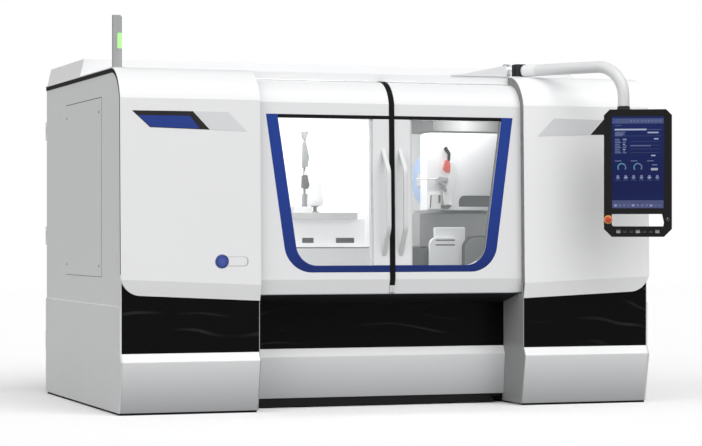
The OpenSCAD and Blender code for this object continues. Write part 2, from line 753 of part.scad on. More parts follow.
module outer_window(from) polygon(window(window_top_h, window_low_h, window_top_half,
    window_low_half, window_r, from));
module glass_window(from, grow) polygon(window(glass_top + grow, glass_low - grow,
    glass_top_half + grow, glass_low_half + grow, glass_r + grow, from));
module trim_shape() difference() {
    outer_window(seal_w);
    glass_window(seal_w - over, 0);
    translate([seal_w - over, glass_top - over]) square([glass_top_half + over - seal_w, 3 * trim_top_w]);
}
module top_strip_shape() difference() {
    intersection() {
        outer_window(seal_w);
        translate([seal_w, glass_top]) square([glass_top_half - seal_w, trim_top_w]);
    }
}

rim = 12;
module door_shell() from_front() difference() {
    extrude_x(seal_w, door_out) polygon(door_section(0, door_low_h));
    on_door_face() {
        extrude_y(-over, trim_t) {
            trim_shape();
            top_strip_shape();
        }
        extrude_y(-over, door_t + over) glass_window(stile_w, 0);
        extrude_y(-over, trim_t + glass_t) glass_window(stile_w - rim, rim);
    }
}

// Carriages behind the door's top edge that run on the upper rail
module door_carriages() from_front() for (s = [0.15, 0.75]) translate([s * door_out, 0, 0]) difference() {
    block(0, 4 * carriage_t, door_back, lintel_y - run_gap, rail_z - rail_h / 2, rail_z + rail_h * 1.5);
    block(-over, 5 * carriage_t, lintel_y - rail_d - run_gap, lintel_y,
        rail_z - run_gap, rail_z + rail_h + run_gap);
}

module door_glass() from_front() on_door_face() extrude_y(trim_t, trim_t + glass_t)
    glass_window(stile_w - rim + seat, rim - seat);

module door_trim() from_front() on_door_face() extrude_y(0, trim_t) trim_shape();

// Bow of even thickness: two slopes and a straight middle with rounded corners, feet on the door face.
module door_handle() from_front() {
    mid = handle_low_h + handle_h / 2;
    face = door_recess + lean_at(mid);
    end = handle_h / 2;
    top = [-handle_bow, end * 0.6];
    low = [-handle_bow, -end * 0.49];
    p = [[0, end], top, low, [0, -end]];
    up = handle_t * norm(p[0] - p[1]) / handle_bow;
    down = handle_t * norm(p[3] - p[2]) / handle_bow;
    q = [[0, end - up], inside_corner(p[0], p[1], p[2], handle_t), inside_corner(p[1], p[2], p[3], handle_t),
        [0, down - end]];
    r = handle_bow;
    translate([0, face, mid]) rotate([-lean_deg, 0, 0])
        extrude_x(handle_inset - handle_w / 2, handle_inset + handle_w / 2) polygon(concat(
            [p[0]], bend(p[0], p[1], p[2], r), bend(p[1], p[2], p[3], r), [p[3], q[3]],
            bend(q[3], q[2], q[1], r - handle_t), bend(q[2], q[1], q[0], r - handle_t), [q[0]]));
}

module door_seal() from_front() {
    extrude_x(seat, seal_w) polygon(door_section(seal_proud, door_low_h));
    on_door_face() extrude_y(0, trim_t) top_strip_shape();
}

module left_door_shell() color("whitesmoke") mirrored() {
    door_shell();
    door_carriages();
}
module right_door_shell() color("whitesmoke") {
    door_shell();
    door_carriages();
}
module left_door_glass() color([0.85, 0.9, 0.92, 0.4]) mirrored() door_glass();
module right_door_glass() color([0.85, 0.9, 0.92, 0.4]) door_glass();
module left_door_trim() color("#26408f") mirrored() door_trim();
module right_door_trim() color("#26408f") door_trim();
module left_door_handle() color("lightgray") mirrored() door_handle();
module right_door_handle() color("lightgray") door_handle();
module left_door_seal() color("#202020") mirrored() door_seal();
module right_door_seal() color("#202020") door_seal();

// Support arm and control panel

joint_r = tube_d * 0.62;
pin_d = tube_d * 0.5;
module arm_base() color("gainsboro") from_front() {
    x0 = arm_x * 0.5;
    ring_x = arm_x - joint_r * 2.3;
    width = tube_d * 1.3;
    difference() {
        extrude_y(arm_y - width / 2, arm_y + width / 2) polygon([[x0, deck_h], [x0, deck_h + side_t],
            [x0 + width, tube_z - tube_d * 0.35], [ring_x, tube_z + tube_d * 0.45], [ring_x, deck_h]]);
        for (x = [0.64, 0.78]) translate([x * arm_x, arm_y, deck_h + side_t])
            cylinder(d = tube_d / 4, h = tube_d);
    }
    // Flanged ring, foot and upright pin of the rotary joint
    rod_x(ring_x, ring_x + joint_r / 4, arm_y, tube_z, tube_d * 1.1);
    rod_x(ring_x + joint_r / 4, ring_x + joint_r / 2, arm_y, tube_z, tube_d * 0.9);
    rod_x(ring_x + joint_r / 2, ring_x + joint_r * 0.75, arm_y, tube_z, tube_d * 1.1);
    block(ring_x, arm_x, arm_y - joint_r, arm_y + joint_r, deck_h, deck_h + tube_gap - run_gap);
    translate([arm_x, arm_y, deck_h]) {
        cylinder(r = joint_r, h = tube_gap - run_gap);
        cylinder(d = pin_d, h = tube_z - deck_h + tube_d * 0.3);
    }
}

// Cap, neck and tube that turn on the pin: a straight run, an elbow and a hanging length.
module support_arm() color("gainsboro") from_front() translate([arm_x, arm_y, 0])
    rotate([0, 0, -arm_heading]) {
        run = arm_reach - elbow_r;
        difference() {
            union() {
                translate([0, 0, deck_h + tube_gap]) cylinder(r = joint_r, h = tube_d * 1.1);
                rod_x(0, joint_r * 1.6, 0, tube_z, tube_d * 0.98);
            }
            translate([0, 0, deck_h]) cylinder(d = pin_d + 2 * pin_play, h = tube_z - deck_h + tube_d * 0.35);
        }
        rod_x(joint_r * 1.6, run, 0, tube_z, tube_d);
        translate([run, 0, tube_z - elbow_r]) rotate([90, 0, 0]) rotate_extrude(angle = 90)
            translate([elbow_r, 0]) circle(d = tube_d);
        translate([arm_reach, 0, panel_top_h + tube_d * 0.3])
            cylinder(d = tube_d, h = tube_z - elbow_r - panel_top_h - tube_d * 0.3);
        // Spigot that carries the panel
        translate([arm_reach, 0, panel_top_h - tube_d * 0.5]) cylinder(d = pin_d, h = tube_d);
    }

module at_panel() from_front() translate([hang_x, hang_y, 0]) rotate([0, 0, -panel_yaw]) children();

top_cut = 34;
low_cut = 46;
module panel_outline(inset) {
    w = panel_w / 2 - inset;
    translate([panel_mid, panel_low_h]) polygon([[-w, low_cut], [low_cut - w, inset], [w - low_cut, inset],
        [w, low_cut], [w, panel_h - top_cut], [w - top_cut, panel_h - inset],
        [top_cut - w, panel_h - inset], [-w, panel_h - top_cut]]);
}
slot_low = panel_low_h + key_bar_h;
screen_z = panel_top_h - screen_h - top_cut * 0.8;
module slot_shape() translate([panel_mid, slot_low]) polygon([[-slot_w / 2, slot_h * 0.12],
    [slot_h * 0.12 - slot_w / 2, 0], [slot_w / 2 - slot_h * 0.06, 0], [slot_w / 2, slot_h * 0.3],
    [slot_w / 2 - slot_h * 0.16, slot_h], [-slot_w / 2, slot_h]]);

module panel_housing() color("#3a3d3f") at_panel() {
    rib = side_t;
    difference() {
        extrude_y(-housing_d / 2, housing_d / 2) difference() {
            panel_outline(rib);
            translate([-panel_w, panel_low_h - over]) square([2 * panel_w, screen_z - panel_low_h]);
        }
        // Socket for the arm's spigot and cooling slots on the back
        translate([0, 0, panel_top_h - tube_d]) cylinder(d = pin_d + 2 * pin_play, h = 2 * tube_d);
        for (i = [0:5]) translate([panel_mid, housing_d / 2, screen_z + screen_h * (0.3 + 0.06 * i)])
            cube([panel_w * 0.5, rib, screen_h * 0.02], center = true);
    }
    // Collar under the hanging tube
    difference() {
        translate([0, 0, panel_top_h - rib]) cylinder(d = tube_d * 0.86, h = tube_d * 0.3 + rib - run_gap);
        translate([0, 0, panel_top_h - tube_d]) cylinder(d = pin_d + 2 * pin_play, h = 2 * tube_d);
    }
}

stop_x = panel_mid - panel_w / 2 + stop_d * 0.72;
stop_z = slot_low + slot_h * 0.55;
knob_x = panel_mid + panel_w / 2 - knob_d * 0.84;
module panel_frame() color("#1c1e1f") at_panel() difference() {
    extrude_y(face_y, -housing_d / 2) difference() {
        panel_outline(0);
        slot_shape();
    }
    // Recess of the screen glass and bores for the stop button and the knob
    translate([panel_mid - screen_w / 2, face_y - over, screen_z])
        cube([screen_w, over + side_t, screen_h]);
    rod_y(stop_x, face_y - over, over, stop_z, stop_d * 0.5 + 2 * pin_play);
    rod_y(knob_x, face_y - over, over, stop_z, knob_d * 0.4 + 2 * pin_play);
    // Sloped key bar
    translate([panel_mid - panel_w, face_y, slot_low]) rotate([-16, 0, 0])
        translate([0, -2 * over, -panel_h]) cube([2 * panel_w, 2 * over, panel_h]);
    for (i = [0:6]) translate([panel_mid + (i - 3) * slot_w / 8, face_y, panel_low_h + key_bar_h / 2])
        cube([slot_w / 11, 2 * over, key_bar_h * 0.4], center = true);
}

module panel_screen() color("#141f5a") at_panel()
    translate([panel_mid - screen_w / 2 + seat, face_y, screen_z + seat])
        cube([screen_w - 2 * seat, side_t, screen_h - 2 * seat]);

module stop_button() color("red") at_panel() {
    stem = frame_t * 0.8;
    rod_y(stop_x, face_y - stop_d * 0.3, face_y + stem, stop_z, stop_d * 0.5);
    translate([stop_x, face_y - stop_d * 0.2, stop_z]) rotate([90, 0, 0]) rotate_extrude() polygon(concat(
        [[0, 0], [stop_d * 0.5, 0]], arc(stop_d * 0.34, stop_d * 0.14, stop_d * 0.16, 0, 90, 6),
        [[0, stop_d * 0.34]]));
}

module override_knob() color("dimgray") at_panel() {
    rod_y(knob_x, face_y - run_gap, face_y + frame_t * 0.8, stop_z, knob_d * 0.4);
    difference() {
        translate([knob_x, face_y - run_gap, stop_z]) rotate([90, 0, 0])
            cylinder(d1 = knob_d, d2 = knob_d * 0.86, h = knob_d * 0.55);
        translate([knob_x, face_y - knob_d * 0.55, stop_z + knob_d * 0.4])
            cube([knob_d * 0.08, knob_d * 0.3, knob_d * 0.3], center = true);
    }
}

// Work table, workhead and wheelhead

head_y = table_y + table_d / 2;
module work_table() color("whitesmoke") from_front() {
    x0 = table_end_x - table_l;
    way = carrier_low - seat;
    // Carrier with two grip pockets
    difference() {
        block(x0, table_end_x + 1.5 * table_t, table_y + table_t, table_y + table_d, way, table_low);
        for (p = [[0.62, 0.08], [0.86, 0.13]]) block(x0 + p[0] * table_l, x0 + (p[0] + p[1]) * table_l,
            table_y, table_y + 1.5 * table_t, way + carrier_h * 0.15, way + carrier_h * 0.33);
    }
    // Table top with three T-slots
    difference() {
        block(x0, table_end_x, table_y, table_y + table_d, table_low, table_top);
        for (s = [0.25, 0.5, 0.75]) translate([0, table_y + s * table_d, 0]) {
            block(x0 - over, table_end_x + over, -table_t * 0.15, table_t * 0.15, table_low + table_t * 0.3,
                table_top + over);
            block(x0 - over, table_end_x + over, -table_t * 0.3, table_t * 0.3,
                table_low + table_t * 0.3, table_low + table_t * 0.6);
        }
    }
}

work_x = table_end_x - table_l * 0.62;
work_len = table_l * 0.34;
module workhead() color("whitesmoke") from_front() {
    wide = table_d * 0.34;
    difference() {
        union() {
            extrude_x(work_x - work_len, work_x) polygon(concat(
                [[head_y - wide, table_top + seat], [head_y + wide, table_top + seat]],
                arc(head_y + wide * 0.6, axis_h + wide * 0.7, wide * 0.4, 0, 90, 6),
                arc(head_y - wide * 0.6, axis_h + wide * 0.7, wide * 0.4, 90, 180, 6)));
            rod_x(work_x, work_x + wide * 0.15, head_y, axis_h, spindle_d * 1.6);
        }
        rod_x(work_x - work_len - over, work_x + wide, head_y, axis_h, spindle_d);
    }
}

module chuck() color("silver") from_front() {
    x = work_x + table_d * 0.34 * 0.15 + run_gap;
    body = chuck_d * 0.4;
    rod_x(work_x - work_len * 0.9, x + over, head_y, axis_h, spindle_d - 2 * pin_play);
    difference() {
        rod_x(x, x + body, head_y, axis_h, chuck_d);
        rod_x(x + over * 2, x + body + over, head_y, axis_h, chuck_d * 0.3);
    }
    for (a = [0, 120, 240]) translate([x + body, head_y, axis_h]) rotate([a, 0, 0])
        block(0, chuck_d * 0.16, -chuck_d * 0.07, chuck_d * 0.07, chuck_d * 0.2, chuck_d * 0.46);
}

// Dressing spindle under its bell cover, and the coolant column beside it
module coolant_stand() color("gainsboro") from_front() {
    bell = table_t * 0.94;
    translate([table_end_x - table_l * 0.245, table_y + table_d * 0.4, table_top]) rotate_extrude()
        polygon([[0, seat], [bell * 0.6, seat], [bell * 0.6, bell], [bell * 0.9, bell * 1.2],
            [bell, bell * 1.6], [bell, bell * 2.4], [bell * 0.7, bell * 5.2], [bell * 0.6, bell * 6.6],
            [0, bell * 6.9]]);
    translate([table_end_x - table_l * 0.325, table_y + table_d * 0.5, table_top]) {
        rise = crease_h * 0.25;
        translate([0, 0, seat]) cylinder(d = table_t, h = table_t / 2);
        cylinder(d = table_t * 0.35, h = rise);
        for (p = [[0.1, 0.2, 0.8], [0.38, 0.14, 1.2], [0.62, 0.24, 1], [0.92, 0.1, 1.1]])
            translate([0, 0, p[0] * rise]) cylinder(d1 = p[2] * table_t, d2 = table_t * 0.6, h = p[1] * rise);
    }
}

slide_top = axis_h - head_h * 0.44;
head_low = axis_h - head_h * 0.4;
module cross_slide() color("gainsboro") from_front() {
    block(turret_x - slide_half, turret_x + slide_half, turret_y - slide_half * 0.9,
        turret_y + slide_half * 0.9, carrier_low, slide_top - seat);
    translate([turret_x, turret_y, slide_top - over]) cylinder(d = head_w * 0.2, h = over * 2);
}

head_x0 = turret_x - head_w * 0.535;
head_x1 = head_x0 + head_w;
head_face = turret_y - head_w * 0.61;
core_d = head_w * 0.7;
wheel_x = turret_x - core_d / 2 - wheel_w - run_gap;
wheel_y = turret_y - head_w * 0.09;
quill_y = head_face + head_d / 2;
quill_nose = head_x1 + head_w * 0.16;
quill_bore = quill_d * 0.5;
probe_t = 36;
probe_x = turret_x - head_w * 0.27;
probe_z = head_low + head_h * 0.08;
probe_y = head_face - run_gap - probe_t / 2;
// The stylus ends inside the circle that the wheelhead sweeps when it turns.
stylus_x = turret_x - sqrt(swing_r * swing_r - pow(turret_y - probe_y + probe_t / 2, 2));

module wheelhead() color("whitesmoke") from_front() {
    difference() {
        union() {
            // Turntable, round core, front housing, wheel spindle barrel and quill sleeve
            translate([turret_x, turret_y, slide_top]) cylinder(d = head_w * 0.86, h = head_low - slide_top);
            translate([turret_x, turret_y, head_low]) cylinder(d = core_d, h = head_h * 0.92);
            extrude_y(head_face, head_face + head_d) translate([head_x0, head_low])
                round_top(head_w, head_h, rim * 2);
            block(turret_x - head_w * 0.2, turret_x + head_w * 0.2, head_face + head_d - over, turret_y,
                head_low, head_low + head_h * 0.8);
            rod_x(wheel_x + wheel_w, turret_x, wheel_y, axis_h, spindle_d * 1.6);
            rod_x(head_x1 - over, quill_nose, quill_y, axis_h, quill_d);
        }
        // Pocket in the front above the lip
        extrude_y(head_face - over, head_face + head_d * 0.45)
            translate([turret_x - head_w * 0.155, head_low + head_h * 0.045])
                round_top(head_w * 0.477, head_h * 0.145, head_h * 0.08);
        translate([turret_x, turret_y, slide_top - over])
            cylinder(d = head_w * 0.2 + 2 * pin_play, h = over * 3);
        rod_x(wheel_x, turret_x - head_w * 0.05, wheel_y, axis_h, spindle_d * 0.6);
        rod_x(head_x1 - head_w * 0.1, quill_nose + over, quill_y, axis_h, quill_bore);
    }
    rod_y(probe_x, head_face - run_gap - probe_t, head_face + over, probe_z, probe_t * 0.5);
}

module grinding_wheel() color("lightsteelblue") from_front() {
    bore = spindle_d * 0.6 - 2 * pin_play;
    rod_x(wheel_x, wheel_x + wheel_w - run_gap, wheel_y, axis_h, wheel_d);
    rod_x(wheel_x - wheel_w * 0.3, wheel_x + over, wheel_y, axis_h, wheel_d * 0.34);
    rod_x(wheel_x, turret_x - head_w * 0.06, wheel_y, axis_h, bore);
}

module internal_spindle() color("silver") from_front() {
    nose = quill_nose + quill_d * 0.7;
    rod_x(head_x1 - head_w * 0.09, nose, quill_y, axis_h, quill_bore - 2 * pin_play);
    rod_x(nose, nose + quill_d * 0.5, quill_y, axis_h, quill_bore * 1.2);
}

module probe_arm() color("whitesmoke") from_front() difference() {
    union() {
        translate([probe_x, probe_y, probe_z]) rotate([0, -11, 0])
            extrude_y(-probe_t / 2, probe_t / 2) polygon([[-probe_t * 0.6, -probe_t * 0.5],
                [probe_t * 0.6, -probe_t * 0.5], [probe_t * 0.5, head_h * 0.55],
                [probe_t * 0.1, head_h * 0.72], [-probe_t * 0.5, head_h * 0.72],
                [-probe_t * 0.6, head_h * 0.5]]);
        rod_x(stylus_x, probe_x - probe_t * 0.5, probe_y, axis_h, probe_t * 0.3);
    }
    rod_y(probe_x, probe_y - probe_t, probe_y + probe_t, probe_z, probe_t * 0.5 + 2 * pin_play);
}

machine_bed();
levelling_feet();
base_frame();
posts_and_beams();
left_front_cover();
right_front_cover();
cover_bands();
cover_skirts();
cover_returns();
door_wipers();
middle_band();
underside_panel();
middle_skirt();
toe_plate();
side_panels();
lower_side_panels();
access_covers();
side_seals();
roof_deck();
roof_box();
rear_wall();
electrical_cabinets();
cabinet_hinges();
left_cabinet_door();
right_cabinet_door();
extraction_collar();
door_rails();
interior_liner();
front_apron();
drive_covers();
work_light();
extraction_hood();
signal_column();
signal_lens();
arm_base();
left_door_shell();
left_door_glass();
left_door_trim();
left_door_handle();
left_door_seal();
right_door_shell();
right_door_glass();
right_door_trim();
right_door_handle();
right_door_seal();
support_arm();
panel_housing();
panel_frame();
panel_screen();
stop_button();
override_knob();
work_table();
workhead();
chuck();
coolant_stand();
cross_slide();
wheelhead();
grinding_wheel();
internal_spindle();
probe_arm();
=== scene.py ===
"""Looks of an enclosed cylindrical grinding machine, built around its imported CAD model."""

from math import cos, pi, radians, sin, tan

import bmesh
import bpy
import numpy as np
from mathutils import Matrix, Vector


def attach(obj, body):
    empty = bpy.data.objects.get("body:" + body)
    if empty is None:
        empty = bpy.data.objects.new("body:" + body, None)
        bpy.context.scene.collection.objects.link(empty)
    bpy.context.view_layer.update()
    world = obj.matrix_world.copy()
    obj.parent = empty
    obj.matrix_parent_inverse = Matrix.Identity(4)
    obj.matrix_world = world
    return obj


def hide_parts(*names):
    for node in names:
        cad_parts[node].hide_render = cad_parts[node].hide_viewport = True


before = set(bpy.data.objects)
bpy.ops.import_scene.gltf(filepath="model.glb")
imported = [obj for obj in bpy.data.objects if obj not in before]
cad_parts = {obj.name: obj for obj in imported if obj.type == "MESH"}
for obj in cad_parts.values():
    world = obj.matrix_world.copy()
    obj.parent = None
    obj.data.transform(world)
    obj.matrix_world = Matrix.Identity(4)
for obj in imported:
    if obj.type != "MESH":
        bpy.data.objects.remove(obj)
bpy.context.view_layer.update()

# Sizes in metres that the pieces share. Depths are counted from FRONT, the front plane of the fixed covers.
MM = 0.001
FRONT = -0.791764
DECK = 1.98535
LEAN, LEAN_LOW, CREASE = 0.022, 0.736, 1.800
SIDES = (("left", -1), ("right", 1))
BADGE_X, BADGE_Z = -1.058, 0.872
TABLE_TOP = 1.1597
AXIS_Z = 1.370
# How far a plate or a foot reaches into the face that it stands on, and the radius that stands for zero.
SINK = 0.0004
POLE = 1e-5
# Shading is smooth up to this angle, in degrees.
SMOOTH = 35

# The support arm: x and depth of its pin, its turn at rest, and the height and radius of its tube.
ARM = (0.915, 0.300)
ARM_TURN = radians(-59)
TUBE_Z, TUBE_R = 2.02435, 0.035

# The control panel: x and depth of its axis, its turn, and its sizes in its own frame, in which u runs to the
# right and v from the face to the back.
HANG = (1.3054, -0.34973)
PANEL_YAW = radians(27)
PANEL_MID, PANEL_HALF, PANEL_FACE = 0.084, 0.1985, -0.057
PANEL_LOW, PANEL_TOP, SLOT_LOW = 1.01235, 1.76235, 1.07435
SWITCH_Z = SLOT_LOW + 0.0396
STOP_U = PANEL_MID - PANEL_HALF + 0.02592
KNOB_U = PANEL_MID + PANEL_HALF - 0.0252
UP = np.array([0, 0, 1])
PANEL_U = np.array([cos(PANEL_YAW), -sin(PANEL_YAW), 0])
PANEL_V = np.array([sin(PANEL_YAW), cos(PANEL_YAW), 0])

# For each axis of a turned piece, the directions of the cosine, of the sine and of the height.
AXES = {"x": ((0, 1, 0), (0, 0, 1), (1, 0, 0)), "y": ((0, 0, 1), (1, 0, 0), (0, 1, 0)),
        "z": ((1, 0, 0), (0, 1, 0), (0, 0, 1)), "panel": (PANEL_U, UP, PANEL_V)}


# Materials

class Val:
    """An outlet of a node, which operators join with other outlets or numbers by Math nodes."""

    def __init__(self, nodes, source):
        self.nodes = nodes
        self.source = source

    def _with(self, operation, *others):
        return self.nodes.node("Math", [self, *others], operation=operation)

    def __add__(self, other):
        return self._with("ADD", other)

    def __radd__(self, other):
        return self._with("ADD", other)

    def __sub__(self, other):
        return self._with("SUBTRACT", other)

    def __rsub__(self, other):
        return self.nodes.node("Math", [other, self], operation="SUBTRACT")

    def __mul__(self, other):
        return self._with("MULTIPLY", other)

    def __rmul__(self, other):
        return self._with("MULTIPLY", other)

    def __truediv__(self, other):
        return self._with("DIVIDE", other)

    def wave(self):
        return self._with("SINE")

    def within(self):
        return self.nodes.node("Clamp", [self])

    def greater(self, other):
        return self._with("MAXIMUM", other)


class Nodes:
    """A tree of shader nodes, which are added by node() and joined by operators on their outlets."""

    def __init__(self, owner):
        owner.use_nodes = True
        self.tree = owner.node_tree
        self.tree.nodes.clear()

    def link(self, value, inlet):
        """Joins an outlet to an inlet, or sets the inlet to a number or colour."""
        if isinstance(value, Val):
            self.tree.links.new(value.source, inlet)
        elif hasattr(inlet.default_value, "__len__") and hasattr(value, "__len__"):
            inlet.default_value = (*value, 1)[:len(inlet.default_value)]
        else:
            inlet.default_value = value

    def node(self, kind, inlets=(), outlet=0, **settings):
        """Adds a node: its settings first, with a ramp's stops, then the values or links of its inlets."""
        made = self.tree.nodes.new("ShaderNode" + kind)
        for key, value in settings.items():
            if key == "stops":
                self.set_stops(made.color_ramp.elements, value)
            else:
                setattr(made, key, value)
        for key, value in inlets.items() if isinstance(inlets, dict) else enumerate(inlets):
            self.link(value, made.inputs[key])
        return Val(self, made.outputs[outlet]) if made.outputs else None

    def set_stops(self, elements, stops):
        """Puts the stops, (place, colour) each, on a ramp."""
        while len(elements) < len(stops):
            elements.new(0.5)
        for element, (place, colour) in zip(elements, stops):
            element.position = place
            element.color = (*colour, 1)


class Finish(Nodes):
    """A material with one shader, whose sockets are fed by give()."""

    def __init__(self, name):
        self.material = bpy.data.materials.new(name)
        super().__init__(self.material)
        shader = self.node("BsdfPrincipled")
        self.shader = shader.source.node
        self.node("OutputMaterial", [shader])

    def give(self, **sockets):
        """Feeds the shader: base_color, roughness and so on, named as its sockets are."""
        for key, value in sockets.items():
            self.link(value, self.shader.inputs[key.replace("_", " ").title().replace("Ior", "IOR")])

    def place(self, scale=(1, 1, 1)):
        """Object coordinates, scaled."""
        where = self.node("TexCoord", outlet="Object")
        return self.node("Mapping", {"Vector": where, "Scale": scale})

    def axis(self, index):
        """One Object coordinate as a value."""
        return self.node("SeparateXYZ", [self.place()], outlet=index)

    def noise(self, scale, detail=3, stretch=(1, 1, 1), roughness=0.5):
        return self.node("TexNoise", {"Vector": self.place(stretch), "Scale": scale, "Detail": detail,
                                      "Roughness": roughness})

    def mix(self, share, first, second):
        """Blends two colours by a value from 0 to 1."""
        return self.node("Mix", {0: share, 6: first, 7: second}, outlet=2, data_type="RGBA")

    def ramp(self, value, *stops):
        """A colour that passes through the stops as a value goes from 0 to 1."""
        return self.node("ValToRGB", [value], stops=stops)

    def bump(self, height, distance, strength):
        return self.node("Bump", {"Strength": strength, "Distance": distance, "Height": height})


def shade(colour, factor):
    """A colour times a factor, up to white."""
    return tuple(min(1.0, c * factor) for c in colour)


def enamel(name, colour, rough=0.36, peel=0.000012, coat=0.25, painted_light=0.0):
    """Sprayed paint: slow drifts of tone and gloss, orange peel, a little grey towards the floor that is
    partly dust and partly painted shade, and a glow of painted light for pieces where little light falls."""
    f = Finish(name)
    low = (1 - f.axis(2) / 0.55).within()
    tone = f.mix(f.noise(1.1, 2), shade(colour, 0.985), shade(colour, 1.012))
    # The tone greys a little towards the floor, partly dust and partly painted shade; the glow is painted
    # light.
    f.give(base_color=f.mix(low * low * 0.04, tone, shade(colour, 0.55)),
           roughness=rough + (f.noise(7, 4) - 0.5) * 0.08 + low * 0.05,
           normal=f.bump(f.noise(420, 2) + f.noise(2.2, 1) * 6, peel, 0.6),
           coat_weight=coat, coat_roughness=0.12, specular_ior_level=0.45, emission_color=tone,
           emission_strength=painted_light)
    return f.material


def textured_paint(name, colour, rough=0.5, gloss=0.4):
    """Structured sheet-metal paint with a fine leathery grain, a little darker towards the floor."""
    f = Finish(name)
    grains = f.node("TexVoronoi", {"Vector": f.place(), "Scale": 260}, feature="SMOOTH_F1")
    # The tone darkens a little towards the floor.
    low = (1 - f.axis(2) / 0.4).within()
    tone = f.mix(f.noise(1.6), shade(colour, 0.975), shade(colour, 1.02))
    f.give(base_color=f.mix(low * 0.08, tone, shade(colour, 0.5)),
           roughness=rough + (f.noise(9) - 0.5) * 0.1,
           normal=f.bump(grains + f.noise(600, 2) * 0.5, 0.00008, 0.35), specular_ior_level=gloss)
    return f.material


def gloss_black():
    """Polished black plastic pressed with long flowing ridges that run along the machine, whose crests carry
    a faint painted highlight in patches.
    """
    f = Finish("gloss_black_bands")
    bend = f.noise(0.9, 2, stretch=(1, 1, 2.2))
    height = f.axis(2) * 62 + bend * 26 + f.axis(0) * 1.6
    ridge = (height.wave() - 0.86).greater(0) * 7
    patch = ((f.noise(2.4, 1, stretch=(1, 1, 3)) - 0.5) * 6).within()
    painted_light = ridge * patch
    # The crests are painted lighter in patches: a painted highlight.
    f.give(base_color=f.mix(painted_light, (0.0030, 0.0030, 0.0032), (0.020, 0.021, 0.022)),
           roughness=0.24 + f.noise(14) * 0.06,
           normal=f.bump(painted_light + f.noise(3, 2) * 0.4, 0.0012, 0.5), specular_ior_level=0.05)
    return f.material


def rubber(name, colour=(0.008, 0.008, 0.0085)):
    """Matt black rubber with a fine grain and rubbed, greyer patches."""
    f = Finish(name)
    f.give(base_color=f.mix(f.noise(26, 4), shade(colour, 0.8), shade(colour, 1.6)),
           roughness=0.62 + f.noise(60) * 0.18, normal=f.bump(f.noise(900), 0.00005, 0.5),
           specular_ior_level=0.08)
    return f.material


def blue_trim():
    """Glossy blue glass print, darker towards the sill as painted shade."""
    f = Finish("blue_glass_trim")
    height = ((f.axis(2) - 0.80) / 0.92).within()
    # The tone deepens towards the sill as painted shade.
    tone = f.ramp(height, (0, (0.010, 0.024, 0.135)), (0.12, (0.013, 0.034, 0.20)),
                  (0.5, (0.015, 0.045, 0.27)), (1, (0.016, 0.050, 0.29)))
    f.give(base_color=f.mix(f.noise(3, 2) * 0.12, tone, (0.03, 0.08, 0.40)),
           roughness=0.18 + f.noise(20) * 0.05, specular_ior_level=0.14,
           normal=f.bump(f.noise(2, 1), 0.0004, 0.2))
    return f.material


def safety_glass():
    """Clear laminated glass with a faint green body and a thin wiped haze."""
    f = Finish("safety_glass")
    haze = f.noise(5, 4, stretch=(1, 1, 0.4))
    f.give(base_color=(0.86, 0.93, 0.92), roughness=0.03 + haze * 0.03, alpha=0.05 + haze * 0.03,
           normal=f.bump(f.noise(1.5, 1), 0.0002, 0.1))
    return f.material


def brushed(name, colour, rough, along=0, contrast=0.10, metallic=1.0):
    """Brushed or ground metal: fine lines along one axis, and slow changes of tone."""
    f = Finish(name)
    stretch = [1.0, 1.0, 1.0]
    stretch[along] = 0.02
    fine = f.noise(220, 4, stretch, 0.65)
    tone = f.mix(fine, shade(colour, 1 - contrast), shade(colour, 1 + contrast))
    f.give(base_color=f.mix(f.noise(3) * 0.5, tone, shade(colour, 0.9)), metallic=metallic,
           roughness=rough + fine * 0.16 - 0.05, normal=f.bump(fine, 0.00004, 0.5))
    return f.material


def plastic(name, colour, rough, coat=0.0, gloss=0.5):
    """Moulded plastic with a fine spark-eroded grain."""
    f = Finish(name)
    f.give(base_color=f.mix(f.noise(8), shade(colour, 0.9), shade(colour, 1.12)),
           roughness=rough + (f.noise(30) - 0.5) * 0.12, coat_weight=coat, coat_roughness=0.08,
           normal=f.bump(f.noise(1400, 2), 0.00004, 0.5), specular_ior_level=gloss)
    return f.material


def lamp_glass(name, colour, strength):
    """Frosted lens lit from inside, with fine level ribs."""
    f = Finish(name)
    rows = (f.axis(2) * 900).wave() * 0.5 + 0.5
    f.give(base_color=shade(colour, 0.8), roughness=0.25,
           emission_color=f.mix(rows * 0.3, colour, shade(colour, 0.72)), emission_strength=strength,
           coat_weight=0.5, coat_roughness=0.1)
    return f.material


def abrasive():
    """Vitrified light blue grit: speckled tone and an open, pitted face."""
    f = Finish("abrasive_wheel")
    grit = f.node("TexVoronoi", {"Vector": f.place(), "Scale": 520})
    speck = (f.noise(380) - 0.45) * 3
    f.give(base_color=f.mix(speck.within(), (0.38, 0.50, 0.74), (0.62, 0.72, 0.90)),
           roughness=0.86 + f.noise(40, 2) * 0.1, normal=f.bump(grit, 0.0004, 0.9))
    return f.material


def head_enamel():
    """White enamel of the wheelhead, greyed softly by painted shade towards its right and lower side."""
    f = Finish("wheelhead_enamel")
    # Painted shade greys the enamel towards the right and the lower side.
    right = ((f.axis(0) - 0.66) / 0.26 + (1.45 - f.axis(2)) * 0.5).within()
    tone = f.ramp(right, (0, (0.84, 0.845, 0.85)), (0.45, (0.62, 0.625, 0.63)), (1, (0.36, 0.363, 0.366)))
    f.give(base_color=f.mix(f.noise(5) * 0.1, tone, (0.7, 0.7, 0.7)), roughness=0.36 + f.noise(11) * 0.08,
           coat_weight=0.1, coat_roughness=0.15, specular_ior_level=0.3,
           normal=f.bump(f.noise(260, 2), 0.00002, 0.4))
    return f.material


